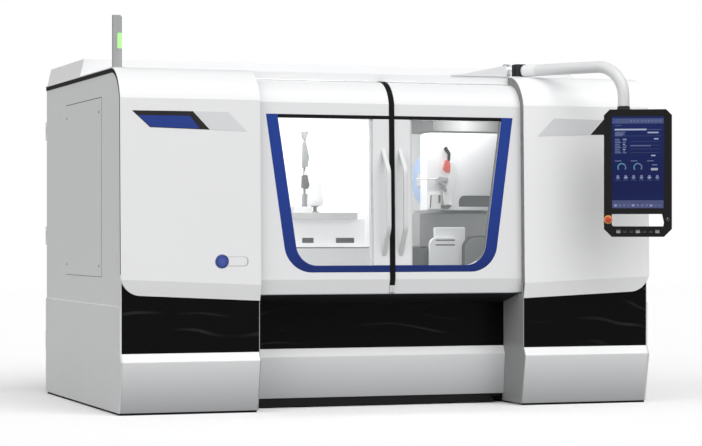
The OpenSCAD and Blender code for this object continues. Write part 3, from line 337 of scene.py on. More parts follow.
def hood_sheet():
    """Brushed stainless sheet with one broad painted highlight across its middle, between ends darkened by
    painted shade.
    """
    f = Finish("hood_sheet")
    fine = f.noise(240, 4, stretch=(0.02, 1, 1), roughness=0.65)
    along = ((f.axis(0) - 0.50) / 0.70).within()
    # A painted highlight across the middle, between ends darkened by painted shade.
    tone = f.ramp(along, (0, (0.10, 0.10, 0.10)), (0.08, (0.11, 0.11, 0.11)), (0.38, (0.50, 0.50, 0.50)),
                  (0.74, (0.05, 0.05, 0.05)))
    f.give(base_color=f.mix(fine * 0.3, tone, (0.3, 0.3, 0.3)), metallic=0.25, roughness=0.42 + fine * 0.12,
           normal=f.bump(fine, 0.00003, 0.4), specular_ior_level=0.3)
    return f.material


def skirt_enamel():
    """Light enamel of the skirts: painted shade deepens it evenly from the lip down to the floor, under a
    painted highlight on the lip.
    """
    f = Finish("skirt_enamel")
    height = ((f.axis(2) - 0.012) / 0.300).within()
    # Painted shade deepens the tone from the lip to the floor; the lip itself carries a painted highlight.
    tone = f.ramp(height, (0, (0.36, 0.365, 0.375)), (0.94, (0.77, 0.775, 0.785)),
                  (0.97, (0.86, 0.865, 0.87)))
    f.give(base_color=f.mix(f.noise(6) * 0.06, tone, (0.6, 0.6, 0.6)), roughness=0.40 + f.noise(9) * 0.08,
           normal=f.bump(f.noise(420, 2), 0.000012, 0.5), coat_weight=0.15, coat_roughness=0.12)
    return f.material


def apron_enamel():
    """Light enamel in front of the table that turns to the grey of painted shade in front of the cross slide.
    """
    f = Finish("apron_enamel")
    # Towards the cross slide the enamel turns to the grey of painted shade.
    right = ((f.axis(0) - 0.10) / 0.12).within()
    f.give(base_color=f.mix(right, (0.80, 0.80, 0.805), (0.10, 0.101, 0.103)),
           roughness=0.45 + f.noise(12) * 0.08, normal=f.bump(f.noise(300, 2), 0.00002, 0.4),
           specular_ior_level=0.3)
    return f.material


def liner_enamel():
    """Bright washable enamel inside, with runs of dried coolant low down, and a glow of painted light that
    fades to painted shade towards the right."""
    f = Finish("liner_enamel")
    runs = f.noise(16, 4, stretch=(1, 1, 0.06))
    low = (1 - (f.axis(2) - 0.7) / 0.7).within()
    # The glow is painted light; its fade to grey towards the right is painted shade.
    right = ((f.axis(0) - 0.30) / 0.35).within()
    f.give(base_color=f.mix(runs * low * 0.25, (0.90, 0.905, 0.91), (0.66, 0.66, 0.64)),
           roughness=0.34 + runs * 0.12, coat_weight=0.2, coat_roughness=0.15,
           normal=f.bump(f.noise(180, 2), 0.00002, 0.5),
           emission_color=f.mix(right, (1, 1, 1), (0.35, 0.352, 0.355)), emission_strength=0.48)
    return f.material


def screen_glass():
    """Dark display glass lit from behind: a navy field, brighter towards its top."""
    f = Finish("screen_glass")
    height = ((f.axis(2) - 1.18) / 0.54).within()
    field = f.ramp(height, (0, (0.012, 0.020, 0.10)), (0.25, (0.006, 0.009, 0.085)),
                   (0.6, (0.010, 0.020, 0.13)), (1, (0.016, 0.040, 0.21)))
    f.give(base_color=(0.008, 0.012, 0.05), roughness=0.10 + f.noise(6) * 0.04,
           emission_color=f.mix(f.noise(9) * 0.35, field, (0.02, 0.03, 0.12)), emission_strength=0.34,
           specular_ior_level=0.05)
    return f.material


def shown_colours():
    """Lit display marks, whose colours are in the mesh's Tint attribute."""
    f = Finish("display_marks")
    tint = f.node("Attribute", attribute_name="Tint")
    f.give(base_color=(0.02, 0.02, 0.03), roughness=0.2, emission_color=tint, emission_strength=0.6)
    return f.material


def printed_colours():
    """Printed plates, whose colours are in the mesh's Tint attribute."""
    f = Finish("printed_plates")
    tint = f.node("Attribute", attribute_name="Tint")
    f.give(base_color=f.mix(f.noise(14) * 0.02, tint, (0.4, 0.4, 0.4)), roughness=0.30 + f.noise(40) * 0.08,
           specular_ior_level=0.2)
    return f.material


def badge_enamel():
    """Blue enamel that lightens to a soft round highlight in its middle."""
    f = Finish("badge_enamel")
    dx = f.axis(0) - BADGE_X
    dz = f.axis(2) - BADGE_Z
    far = ((dx * dx + dz * dz) / 0.0016).within()
    f.give(base_color=f.mix(far, (0.055, 0.095, 0.36), (0.010, 0.028, 0.20)),
           roughness=0.2 + f.noise(30, 2) * 0.05, coat_weight=0.2, coat_roughness=0.1,
           specular_ior_level=0.25, normal=f.bump(f.noise(60, 2), 0.0001, 0.3))
    return f.material


WHITE = enamel("white_enamel", (0.815, 0.818, 0.825))
# A lighter copy of the white enamel for the right front cover: painted light that brightens it against the
# shade it gets.
RIGHT_LIT_WHITE = enamel("right_cover_lit_enamel", (0.89, 0.893, 0.90))
DOOR_WHITE = enamel("door_enamel", (0.800, 0.805, 0.812))
SKIRT = skirt_enamel()
# The cheeks beside the doorway take a grey that is painted shade on their white sheet.
RETURN_SHADE = enamel("return_shade_enamel", (0.34, 0.342, 0.345), rough=0.45, coat=0.05)
# The door wipers are a mid grey that stands in as painted shade for the covers' returns beside them.
WIPER_SHADE = rubber("wiper_shade_grey", (0.22, 0.22, 0.222))
SEAM = plastic("seam_grey", (0.10, 0.10, 0.10), 0.6, gloss=0.2)
LIGHT = enamel("light_grey_enamel", (0.72, 0.725, 0.735), rough=0.42)
SIDE = textured_paint("side_grey_paint", (0.66, 0.665, 0.67))
INNER = enamel("inner_frame_paint", (0.42, 0.43, 0.44), rough=0.5)
DARK = textured_paint("dark_paint", (0.010, 0.010, 0.011), 0.45, gloss=0.12)
BANDS = gloss_black()
RUBBER = rubber("black_rubber")
BLUE = blue_trim()
GLASS = safety_glass()
STEEL = brushed("ground_steel", (0.58, 0.59, 0.60), 0.3, along=0)
TABLE = brushed("ground_table", (0.74, 0.74, 0.74), 0.42, along=0, metallic=0.3)
# The carrier and the castings glow a little: painted light where little light falls.
CARRIER = enamel("carrier_enamel", (0.86, 0.86, 0.865), painted_light=0.22)
CASTING = enamel("casting_paint", (0.72, 0.725, 0.73), rough=0.45, peel=0.00003, painted_light=0.08)
ALUMINIUM = brushed("satin_aluminium", (0.37, 0.375, 0.38), 0.36, along=2, contrast=0.05, metallic=0.85)
SILVER = brushed("silver_rings", (0.66, 0.67, 0.68), 0.22, along=1, contrast=0.08)
TUBE = enamel("tube_enamel", (0.70, 0.705, 0.71), rough=0.34)
HANDLE = enamel("handle_enamel", (0.70, 0.705, 0.71), rough=0.32)
PANEL = plastic("panel_plastic", (0.008, 0.0085, 0.008), 0.4, gloss=0.12)
HOUSING = plastic("housing_plastic", (0.022, 0.023, 0.025), 0.5, gloss=0.2)
RED = plastic("red_plastic", (0.50, 0.018, 0.012), 0.25, coat=0.4)
CORAL = plastic("coral_mark", (0.66, 0.09, 0.08), 0.35)
YELLOW = plastic("yellow_collar", (0.72, 0.33, 0.02), 0.32, coat=0.3)
KEYS = plastic("key_caps", (0.030, 0.032, 0.034), 0.42, gloss=0.2)
GRIT = abrasive()
LINER = liner_enamel()
APRON = apron_enamel()
HEAD = head_enamel()
HOOD = hood_sheet()
BED_GREY = enamel("bed_grey_paint", (0.16, 0.162, 0.165), rough=0.5, coat=0)
SLIDE_GREY = enamel("slide_grey_paint", (0.31, 0.312, 0.315), rough=0.42, coat=0.1)
WAY_GREY = enamel("way_cover_paint", (0.26, 0.262, 0.265), rough=0.42, coat=0)
POCKET_GREY = enamel("pocket_grey", (0.12, 0.12, 0.12), rough=0.5, coat=0)
LAMP = lamp_glass("lamp_tube", (1.0, 1.0, 0.98), 1.3)
GREEN = lamp_glass("green_lens", (0.30, 0.92, 0.20), 1.0)
SCREEN = screen_glass()
MARKS = shown_colours()
PLATES = printed_colours()
BADGE = badge_enamel()
PROBE_WHITE = plastic("probe_casing", (0.78, 0.78, 0.78), 0.34)
MID_GREY = plastic("mid_grey_casing", (0.25, 0.255, 0.26), 0.45)
MID_LIGHT = plastic("light_grey_casing", (0.42, 0.425, 0.43), 0.45)


# Meshes

def add(name, co, faces, material, body, tint=None, **kw):
    """Makes a piece from points and faces, with an optional colour for each face, and settles it."""
    mesh = bpy.data.meshes.new(name)
    mesh.from_pydata(np.asarray(co, float).reshape(-1, 3).tolist(), [], [tuple(map(int, f)) for f in faces])
    mesh.update()
    if tint is not None:
        layer = mesh.attributes.new("Tint", "FLOAT_COLOR", "FACE")
        layer.data.foreach_set("color", np.asarray(tint, np.float32).ravel())
    return settle(mesh, name, material, body, **kw)


def settle(mesh, name, material, body, smooth=SMOOTH, replaces=(), bevel=0, segments=2):
    """Turns a mesh into a piece that rides on a body, smooth up to an angle, with optional rounded edges."""
    piece = bpy.data.objects.new(name, mesh)
    bpy.context.scene.collection.objects.link(piece)
    mesh.materials.clear()
    mesh.materials.append(material)
    if bevel:
        rounding = piece.modifiers.new("rounding", "BEVEL")
        rounding.width, rounding.segments = bevel, segments
        rounding.limit_method, rounding.angle_limit = "ANGLE", radians(32)
        rounding.harden_normals = True
    mesh.polygons.foreach_set("use_smooth", np.ones(len(mesh.polygons), bool))
    mesh.set_sharp_from_angle(angle=radians(smooth))
    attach(piece, body)
    if replaces:
        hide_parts(*replaces)
    return piece


def grid(points, closed=False, caps=False):
    """Points and faces of an array of points [u, v, 3]: each cell joins a point with its neighbours along
    both parameters. A closed grid joins the last v with the first, and caps are faces over the first and the
    last u."""
    nu, nv = points.shape[:2]
    u, v = np.meshgrid(np.arange(nu - 1), np.arange(nv if closed else nv - 1), indexing="ij")
    here, beside = u * nv + v, u * nv + (v + 1) % nv
    faces = np.stack([here, here + nv, beside + nv, beside], -1).reshape(-1, 4).tolist()
    if caps:
        faces += [list(range(nv))[::-1], [(nu - 1) * nv + i for i in range(nv)]]
    return points.reshape(-1, 3), faces


def rework(mesh, apart, step):
    """Merges the points of a mesh that are closer than a distance, then takes one more step on its faces."""
    work = bmesh.new()
    work.from_mesh(mesh)
    bmesh.ops.remove_doubles(work, verts=work.verts, dist=apart)
    step(work)
    work.to_mesh(mesh)
    work.free()


def outward(mesh):
    """Turns the faces of a closed mesh outwards."""
    rework(mesh, 1e-6, lambda work: bmesh.ops.recalc_face_normals(work, faces=work.faces))


def solid(name, rings, material, body, caps=True, **kw):
    """A closed piece from rings of points [ring, point, 3]."""
    co, faces = grid(np.asarray(rings, float), closed=True, caps=caps)
    mesh = add(name, co, faces, material, body, **kw).data
    outward(mesh)
    mesh.set_sharp_from_angle(angle=radians(SMOOTH))


def tube(name, path, radii, material, body, sides=28, up=(0, 0, 1), **kw):
    """A round section carried along a path: each ring stands square to the path's tangent, and a point is
    the path's own, plus the radius times the sum of side cos t and rise sin t."""
    tangent = np.gradient(path, axis=0)
    tangent /= np.linalg.norm(tangent, axis=1)[:, None]
    side = np.cross(tangent, up)
    side /= np.linalg.norm(side, axis=1)[:, None]
    rise = np.cross(side, tangent)
    t = np.linspace(0, 2 * pi, sides, endpoint=False)[:, None]
    radii = np.broadcast_to(radii, len(path))[:, None, None]
    rings = path[:, None] + side[:, None] * (np.cos(t) * radii) + rise[:, None] * (np.sin(t) * radii)
    solid(name, rings, material, body, **kw)


def lathe(name, centre, profile, material, body, axis="z", sides=40, ribs=0, **kw):
    """A profile of (radius, height) pairs turned about an axis. With the three directions of that axis, a
    point is the centre, plus the radius times the sum of first cos t and second sin t, plus the height times
    third. Ribs make the radius shrink by 3 percent of 1 - cos(ribs t) where the height is below -4 mm."""
    profile = np.asarray(profile, float)
    t = np.linspace(0, 2 * pi, sides, endpoint=False)
    h = profile[:, 1:]
    r = np.maximum(profile[:, :1], POLE) * (1 - 0.03 * (1 - np.cos(t * ribs)) * (h < -0.004))
    first, second, third = np.asarray(AXES[axis], float)
    rings = np.asarray(centre) + (r * np.cos(t))[..., None] * first + (r * np.sin(t))[..., None] * second
    solid(name, rings + h[..., None] * third, material, body, **kw)


def prism(name, outline, direction, material, body, origin=(0, 0, 0), u=(1, 0, 0), v=(0, 0, 1), **kw):
    """An outline in the plane of u and v, carried along a direction: a point (a, b) of the outline lies at
    the origin plus a times u plus b times v, and its copy at the far end lies the direction further."""
    outline = np.asarray(outline, float)
    flat = outline[:, :1] * u + outline[:, 1:] * v + origin
    solid(name, np.stack([flat, flat + direction]), material, body, **kw)


def rounded(w, h, r, steps=6):
    """Outline of a rectangle about the origin with round corners of radius r."""
    parts = []
    for sx, sy, quarter in ((1, 1, 0), (-1, 1, 1), (-1, -1, 2), (1, -1, 3)):
        t = np.linspace(0, pi / 2, steps) + quarter * pi / 2
        parts.append(np.stack([np.cos(t), np.sin(t)], -1) * r + (sx * (w / 2 - r), sy * (h / 2 - r)))
    return np.concatenate(parts)


def at(x, y, z):
    """A point given from the front plane of the covers, in millimetres."""
    return x * MM, y * MM + FRONT, z * MM


def skin_y(z):
    """Depth of a cover's leaning face at a height: it leans back evenly up to the crease."""
    return FRONT + LEAN * (z - LEAN_LOW) / (CREASE - LEAN_LOW)


def dress(node, material, body, bevel=0.0015, smooth=32, segments=2, zones=()):
    """A finished copy of a CAD node: its triangles are joined to flat areas and its edges rounded. Each zone
    is a finish with the box, in millimetres from the front plane, whose faces it takes."""
    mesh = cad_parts[node].data.copy()
    rework(mesh, 2e-6, lambda work: bmesh.ops.dissolve_limit(
        work, angle_limit=radians(0.6), verts=work.verts, edges=work.edges))
    settle(mesh, node + "_finished", material, body, smooth, (node,), bevel, segments)
    centres = np.empty(len(mesh.polygons) * 3)
    mesh.polygons.foreach_get("center", centres)
    centres = centres.reshape(-1, 3) / MM - (0, FRONT / MM, 0)
    index = np.zeros(len(centres), np.int32)
    for number, (finish, low, high) in enumerate(zones, 1):
        mesh.materials.append(finish)
        index[np.all((centres > low) & (centres < high), axis=1)] = number
    mesh.polygons.foreach_set("material_index", index)


# Enclosure

def dress_enclosure():
    """Rounds the edges of the sheet metal and mouldings that show, and paints the rest."""
    rounded_nodes = [
        ("left_front_cover", WHITE, 0.0024), ("right_front_cover", RIGHT_LIT_WHITE, 0.0024),
        ("roof_box", WHITE, 0.004), ("roof_deck", WHITE, 0.0015), ("cover_skirts", SKIRT, 0.002),
        ("middle_skirt", SKIRT, 0.002), ("cover_bands", BANDS, 0.002), ("middle_band", BANDS, 0.0015),
        ("side_panels", SIDE, 0.0012), ("lower_side_panels", SIDE, 0.0015), ("access_covers", SIDE, 0.0009),
        ("cover_returns", RETURN_SHADE, 0.001), ("left_cabinet_door", SIDE, 0.0015),
        ("right_cabinet_door", SIDE, 0.0015), ("arm_base", LIGHT, 0.003)]
    for node, material, width in rounded_nodes:
        body = node if node.endswith("cabinet_door") else "machine"
        dress(node, material, body, width, smooth=9 if node.endswith("front_cover") else 32)
    plain = {
        "machine_bed": BED_GREY, "levelling_feet": DARK, "base_frame": DARK, "posts_and_beams": INNER,
        "door_wipers": WIPER_SHADE, "underside_panel": DARK, "toe_plate": DARK, "side_seals": RUBBER,
        "rear_wall": SIDE, "electrical_cabinets": LIGHT, "cabinet_hinges": STEEL, "extraction_collar": DARK,
        "door_rails": STEEL, "interior_liner": LINER, "front_apron": APRON, "extraction_hood": HOOD}
    for node, material in plain.items():
        paint(node, material)


def paint(node, material):
    """Gives one finish to a CAD node whose shape stays."""
    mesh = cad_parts[node].data
    mesh.materials.clear()
    mesh.materials.append(material)


def dress_doors():
    """Door shells, glass, trim, seals and bow handles of both doors."""
    for side, sign in SIDES:
        body = side + "_door"
        reach = sorted((sign * 540, sign * 700))
        # The side faces of each window opening take the dark seam grey as painted shade.
        dress(side + "_door_shell", DOOR_WHITE, body, 0.002, smooth=9, zones=[
            (SEAM, (reach[0], 78, 830), (reach[1], 200, 1650))])
        dress(side + "_door_seal", RUBBER, body, 0.0015)
        paint(side + "_door_glass", GLASS)
        paint(side + "_door_trim", BLUE)
        dress(side + "_door_handle", HANDLE, body, 0.005, smooth=40, segments=4)
        seal_foot(side, sign, body)


def seal_foot(side, sign, body):
    """A light cap over the lower end of a rubber seal, on the slope where the door's bevel turns inwards."""
    slope = [(0.0655, 0.684), (0.0548, 0.727), (0.0600, 0.727), (0.0700, 0.684)]
    prism(side + "_seal_foot", slope, (sign * 0.0158, 0, 0), LIGHT, body, origin=(sign * 0.0004, FRONT, 0),
          u=(0, 1, 0), bevel=0.0008)


def plate(name, polygons, colours, thickness=0.0012):
    """Thin printed plates on a leaning cover, each a polygon of (x, z) in millimetres."""
    for i, (polygon, colour) in enumerate(zip(polygons, colours)):
        x, z = np.asarray(polygon, float).T * MM
        back = np.stack([x, skin_y(z) + SINK, z], -1)
        co, faces = grid(np.stack([back, back - (0, thickness + SINK, 0)]), closed=True, caps=True)
        outward(add("%s_%d" % (name, i), co, faces, PLATES, "machine", tint=[(*colour, 1)] * len(faces),
                    bevel=0.0004).data)


def front_marks():
    """Bare silver and dark plates on the covers, and a round blue badge with a blank pill beside it, whose
    grey rim is painted shade.
    """
    silver, black, blue = (0.70, 0.705, 0.715), (0.012, 0.012, 0.013), (0.014, 0.042, 0.25)
    left = [[(-1582, 1728), (-1225, 1729), (-1126, 1625), (-1477, 1634)],
            [(-1217, 1729), (-1018, 1729), (-905, 1618), (-1118, 1624)]]
    stripe = [(-1548, 1702), (-1243, 1702), (-1186, 1630), (-1474, 1637)]
    right = [[(911, 1615), (1023, 1725), (1341, 1721), (1254, 1629)],
             [(1262, 1629), (1349, 1721), (1560, 1719), (1470, 1634)]]
    plate("left_emblem", left, [black, silver])
    plate("left_stripe", [stripe], [blue], thickness=0.0018)
    plate("right_emblem", right, [silver, black])
    y = skin_y(BADGE_Z)
    place = (BADGE_X, y, BADGE_Z)
    lathe("round_badge", place, [(0, -0.0045), (0.026, -0.0044), (0.037, -0.0036), (0.0395, -0.002),
                                 (0.040, SINK), (0, SINK)], BADGE, "machine", axis="y")
    lathe("badge_ring", place, [(0.0402, 0.0003), (0.0402, -0.003), (0.0425, -0.0034), (0.0435, -0.002),
                                (0.0435, 0.0003)], SILVER, "machine", axis="y", caps=False)
    # The grey rim behind the pill is painted shade.
    rim = rounded(0.150, 0.056, 0.024, 8) * (1.03, 1) + (-0.97774, BADGE_Z)
    prism("pill_shade_rim", rim, (0, -0.0016, 0), MID_LIGHT, "machine", origin=(0, y + SINK, 0), bevel=0.0006)
    pill = rounded(0.144, 0.050, 0.021, 8) + (-0.980, BADGE_Z)
    prism("blank_pill", pill, (0, -0.0024, 0), WHITE, "machine", origin=(0, y + SINK, 0), bevel=0.0008)


def screws(name, places, radius, material, facing):
    """Small button-head screws that face sideways: a low dome at each place, joined in one piece."""
    t = np.linspace(0, 2 * pi, 14, endpoint=False)
    dome = np.array([(1.0, 0.0), (1.0, 0.35), (0.86, 0.62), (0.5, 0.78), (0.02, 0.82)]) * radius
    r, h = dome[:, :1], dome[:, 1:] * facing
    one = np.stack(np.broadcast_arrays(h, r * np.cos(t), r * np.sin(t)), -1)
    co, faces = [], []
    for i, place in enumerate(places):
        c, f = grid(one + place, closed=True, caps=True)
        faces += [[k + i * len(c) for k in face] for face in f]
        co.append(c)
    outward(add(name, np.concatenate(co), faces, material, "machine").data)


def side_details():
    """Screws of the access covers and side panels. The lowest ones lie almost flush."""
    kinds = [("cover", 1646, [(565, 842), (565, 1745), (1442, 842), (1442, 1745)], 0.008, MID_GREY, 0.55),
             ("panel", 1644, [(1700, 1800), (1880, 1800), (130, 1700), (130, 900)], 0.006, STEEL, 1),
             ("low", 1650, [(110, 560), (110, 470), (260, 575), (1960, 560)], 0.006, STEEL, 0.01)]
    for side, sign in SIDES:
        for kind, x, spots, radius, finish, rise in kinds:
            places = [at(sign * x, y, z) for y, z in spots]
            screws("%s_%s_screws" % (side, kind), places, radius, finish, sign * rise)


def seams():
    """Dark gaskets round the access covers, a sloping ledge above each lower side panel, painted white as a
    painted highlight, and black rubber foot strips below the skirts, which stand in as painted shade."""
    gasket = [(0.506, 0.777), (1.479, 0.777), (1.479, 1.830), (0.506, 1.830)]
    ledge = [(1.6435, 0.6195), (1.6498, 0.6135), (1.6498, 0.6105), (1.6435, 0.6105)]
    foot = [(0.834, 0.0605), (1.643, 0.0605), (1.643, 2.040), (1.635, 2.040), (1.635, 0.0685),
            (0.834, 0.0685)]
    for side, s in SIDES:
        prism(side + "_cover_gasket", gasket, (s * 0.0008, 0, 0), SEAM, "machine",
              origin=(s * 1.6438, FRONT, 0), u=(0, 1, 0))
        # The ledge is painted white as a painted highlight on the grey side panel.
        prism(side + "_side_ledge", ledge, (0, 1.96, 0), WHITE, "machine", origin=(0, FRONT + 0.100, 0),
              u=(s, 0, 0))
        # The black foot strips stand in as painted shade under the skirts.
        prism(side + "_foot_strip", foot, (0, 0, 0.0135), RUBBER, "machine", origin=(0, FRONT, 0.0005),
              u=(s, 0, 0), v=(0, 1, 0))


# Arm and panel

def arm_pieces():
    """Black swivel block, pale conical neck, bent tube and the rings of the rotary joint."""
    along = np.array([cos(ARM_TURN), sin(ARM_TURN), 0])
    pivot = np.array([ARM[0], FRONT + ARM[1], 0])
    low, high, width = DECK + 0.0045, 2.0662, 0.080
    body = rounded(width, 0.078, 0.022, 7)
    block = []
    for z, inset in ((low, 0.004), (low + 0.004, 0), (high - 0.006, 0), (high - 0.001, 0.004), (high, 0.010)):
        shrink = body * (1 - 2 * inset / width)
        block.append(np.concatenate([shrink, np.full((len(shrink), 1), z)], 1) + pivot)
    solid("swivel_block", block, HOUSING, "support_arm")
    start = pivot + UP * TUBE_Z
    steps = np.array([0.036, 0.044, 0.050, 0.068, 0.100, 0.135])
    widths = [0.034, 0.0372, 0.0378, 0.0374, 0.0364, 0.0352]
    tube("tube_neck", start + steps[:, None] * along, widths, WHITE, "support_arm")
    run, bend = 0.573, 0.185
    straight = np.linspace(0.130, run, 26)[:, None] * along + start
    a = np.linspace(0, pi / 2, 30)[1:, None]
    elbow = start + along * (run + bend * np.sin(a)) + UP * (bend * np.cos(a) - bend)
    drop = np.linspace(TUBE_Z - bend, PANEL_TOP + 0.022, 9)[1:, None]
    fall = UP * drop + (HANG[0], FRONT + HANG[1], 0)
    tube("bent_tube", np.concatenate([straight, elbow, fall]), TUBE_R, TUBE, "support_arm", sides=36,
         up=(-sin(ARM_TURN), cos(ARM_TURN), 0), replaces=("support_arm",))
    profile = [(0.010, 0), (0.040, 0.0002), (0.0405, 0.002), (0.0405, 0.008), (0.033, 0.009), (0.033, 0.013),
               (0.0405, 0.014), (0.0405, 0.020), (0.034, 0.021), (0.034, 0.025), (0.0405, 0.026),
               (0.0405, 0.032), (0.012, 0.0322)]
    lathe("joint_rings", (ARM[0] - 0.10082, FRONT + ARM[1], TUBE_Z), profile, SILVER, "machine", axis="x",
          sides=44)


def on_panel(u, v, z):
    """A point from the panel's own frame: its axis + u PANEL_U + v PANEL_V + z upwards."""
    u, v, z = (np.asarray(part, float)[..., None] for part in (u, v, z))
    return np.array([HANG[0], FRONT + HANG[1], 0]) + u * PANEL_U + v * PANEL_V + z * UP


def panel_box(name, across, deep, high, material, body, r, bevel):
    """A rounded block at the panel's face, between two values of u, of depth behind the face and of
    height."""
    outline = rounded(across[1] - across[0], high[1] - high[0], r) + (sum(across) / 2, sum(high) / 2)
    prism(name, outline, PANEL_V * (deep[1] - deep[0]), material, body,
          origin=on_panel(0, PANEL_FACE + deep[0], 0), u=PANEL_U, bevel=bevel)


def display_marks():
    """Generic bars, rings, keys and columns of the display, as thin tinted tiles over the glass."""
    tiles, tints = [], []
    u0, z0 = PANEL_MID - 0.1495, 1.181

    def shape(corners, tint):
        """A figure of four corners, in millimetres from the lower left of the lit area."""
        tiles.append([(u0 + x * MM, z0 + y * MM) for x, y in corners])
        tints.append((*tint, 1))

    def tile(x, y, w, h, tint):
        shape([(x, y), (x + w, y), (x + w, y + h), (x, y + h)], tint)

    pale, dim, bright, cyan = (0.20, 0.26, 0.50), (0.045, 0.07, 0.22), (0.55, 0.62, 0.85), (0.10, 0.42, 0.62)
    tile(0, 498, 299, 30, (0.030, 0.060, 0.24))
    tile(3, 502, 22, 22, (0.06, 0.14, 0.62))
    for i in range(9):
        tile(104 + i * 21, 508, 11, 10, pale)
    tile(14, 484, 40, 5, dim)
    tile(14, 458, 186, 9, bright)
    tile(202, 460, 84, 4, dim)
    for i in range(4):
        tile(16, 446 - i * 7, (62, 50, 58, 44)[i], 3.6, pale)
    tile(206, 440, 64, 9, (0.45, 0.50, 0.72))
    tile(244, 404, 26, 7, bright)
    tile(14, 424, 272, 1.6, dim)
    for i in range(9):
        tile(16, 404 - i * 10, 26 + (i % 3) * 5, 4, pale)
        tile(62, 404 - i * 10, 22 - (i % 4) * 3, 4, bright if i % 3 == 0 else pale)
    for i in range(4):
        tile(106, 392 - i * 22, 170, 1.4, dim)
    tile(106, 364, 120, 6, (0.09, 0.13, 0.32))
    tile(228, 306, 24, 7, bright)
    for x in (16, 108, 204):
        tile(x, 276, 38, 4, pale)
    for cx, filled in ((56, 13), (150, 9)):
        for k in range(20):
            a0, a1 = radians(215 - k * 12.5), radians(215 - (k + 0.8) * 12.5)
            shape([(cx + r * cos(a), 240 + r * sin(a)) for r, a in ((19, a0), (26, a0), (26, a1), (19, a1))],
                  cyan if k < filled else pale)
    tile(232, 252, 30, 5, pale)
    tile(226, 222, 40, 14, (0.50, 0.52, 0.66))
    for i in range(6):
        tile(18 + i * 46, 164, 30, 3, dim)
        tile(26 + i * 46, 172, 14, 22, pale)
        tile(22 + i * 46, 178, 22, 5, bright if i in (1, 4) else pale)
    tile(0, 0, 299, 44, (0.030, 0.050, 0.21))
    tile(0, 44, 299, 1.6, (0.07, 0.09, 0.30))
    for i in range(11):
        tile(10 + i * 26, 10, 17, 13, pale if i % 4 else bright)
    tile(120, 30, 60, 4, dim)
    p = np.asarray(tiles)
    co = on_panel(p[..., 0], PANEL_FACE - 0.0002, p[..., 1])
    faces = np.arange(len(p) * 4).reshape(-1, 4)
    add("display_marks", co, faces, MARKS, "control_panel", tint=tints)


def panel_pieces():
    """Finished frame and housing, display with its mask, emergency stop with its collar, knob, keys and
    coupling."""
    dress("panel_frame", PANEL, "control_panel", 0.0022, segments=3)
    dress("panel_housing", HOUSING, "control_panel", 0.003, segments=3)
    paint("panel_screen", SCREEN)
    display_marks()
    for name, u0, u1, z0, z1 in (
            ("left", -0.1658, -0.1530, 1.1752, 1.7352), ("right", 0.1530, 0.1658, 1.1752, 1.7352),
            ("top", -0.1535, 0.1535, 1.7215, 1.7352), ("low", -0.1535, 0.1535, 1.1752, 1.1802)):
        panel_box("mask_" + name, (PANEL_MID + u0, PANEL_MID + u1), (-0.0006, 0.006), (z0, z1), PANEL,
                  "control_panel", 0.0005, 0.0002)
    right, top = PANEL_MID + PANEL_HALF, PANEL_TOP
    edge = [(right - 0.0065, 1.058), (right + 0.0004, 1.058), (right + 0.0004, top - 0.034),
            (right - 0.034, top + 0.0004), (right - 0.040, top - 0.004), (right - 0.0065, top - 0.038)]
    prism("silver_edge", edge, PANEL_V * 0.020, SILVER, "control_panel", origin=on_panel(0, -0.0515, 0),
          u=PANEL_U, bevel=0.001)
    stop = on_panel(STOP_U, PANEL_FACE, SWITCH_Z)
    lathe("stop_collar", stop, [(0.0096, 0.001), (0.0255, 0.001), (0.0255, -0.003), (0.0235, -0.0052),
                                (0.0150, -0.0056), (0.0102, -0.0052)], YELLOW, "control_panel", "panel", 36)
    lathe("stop_cap", stop, [(0.0088, 0.010), (0.0088, -0.0065), (0.016, -0.0078), (0.0182, -0.0105),
                             (0.0176, -0.0150), (0.0135, -0.0182), (0.006, -0.0194), (0, -0.0196)], RED,
          "stop_button", "panel", 36, replaces=("stop_button",))
    knob = on_panel(KNOB_U, PANEL_FACE, SWITCH_Z)
    lathe("knob_skirt", knob, [(0.006, 0.012), (0.006, -0.0006), (0.0148, -0.0008), (0.0150, -0.003),
                               (0.0138, -0.005), (0.0128, -0.0155), (0.0118, -0.0168), (0, -0.0170)], KEYS,
          "override_knob", "panel", 108, ribs=18, replaces=("override_knob",))
    panel_box("knob_pointer", (KNOB_U - 0.0009, KNOB_U + 0.0009), (-0.0174, -0.0166),
              (SWITCH_Z + 0.0029, SWITCH_Z + 0.0109), WHITE, "override_knob", 0.0006, 0)
    key_row()
    lathe("panel_coupling", on_panel(0, 0, PANEL_TOP), [(0.012, -0.003), (0.0405, -0.002), (0.0405, 0.004),
          (0.0375, 0.007), (0.0365, 0.0195), (0.012, 0.0200)], HOUSING, "control_panel")


def key_row():
    """Low key caps on the sloped bar under the grip, which leans back by 16 degrees."""
    lean, z = radians(16), PANEL_LOW + 0.034
    up = UP * cos(lean) + PANEL_V * sin(lean)
    normal = -PANEL_V * cos(lean) - UP * sin(lean)
    for i in range(7):
        base = on_panel(PANEL_MID + (i - 3) * 0.038, PANEL_FACE + (SLOT_LOW - z) * tan(lean) + 0.001, z)
        prism("key_%d" % i, rounded(0.027, 0.024, 0.003), normal * 0.0030, KEYS if i % 3 else MID_GREY,
              "control_panel", origin=base, u=PANEL_U, v=up, bevel=0.0006)


# Signal light

def signal_pieces():
    """Finished column and a frosted lens."""
    dress("signal_column", ALUMINIUM, "machine", 0.0016)
    dress("signal_lens", GREEN, "machine", 0.0012)


# Grinding area

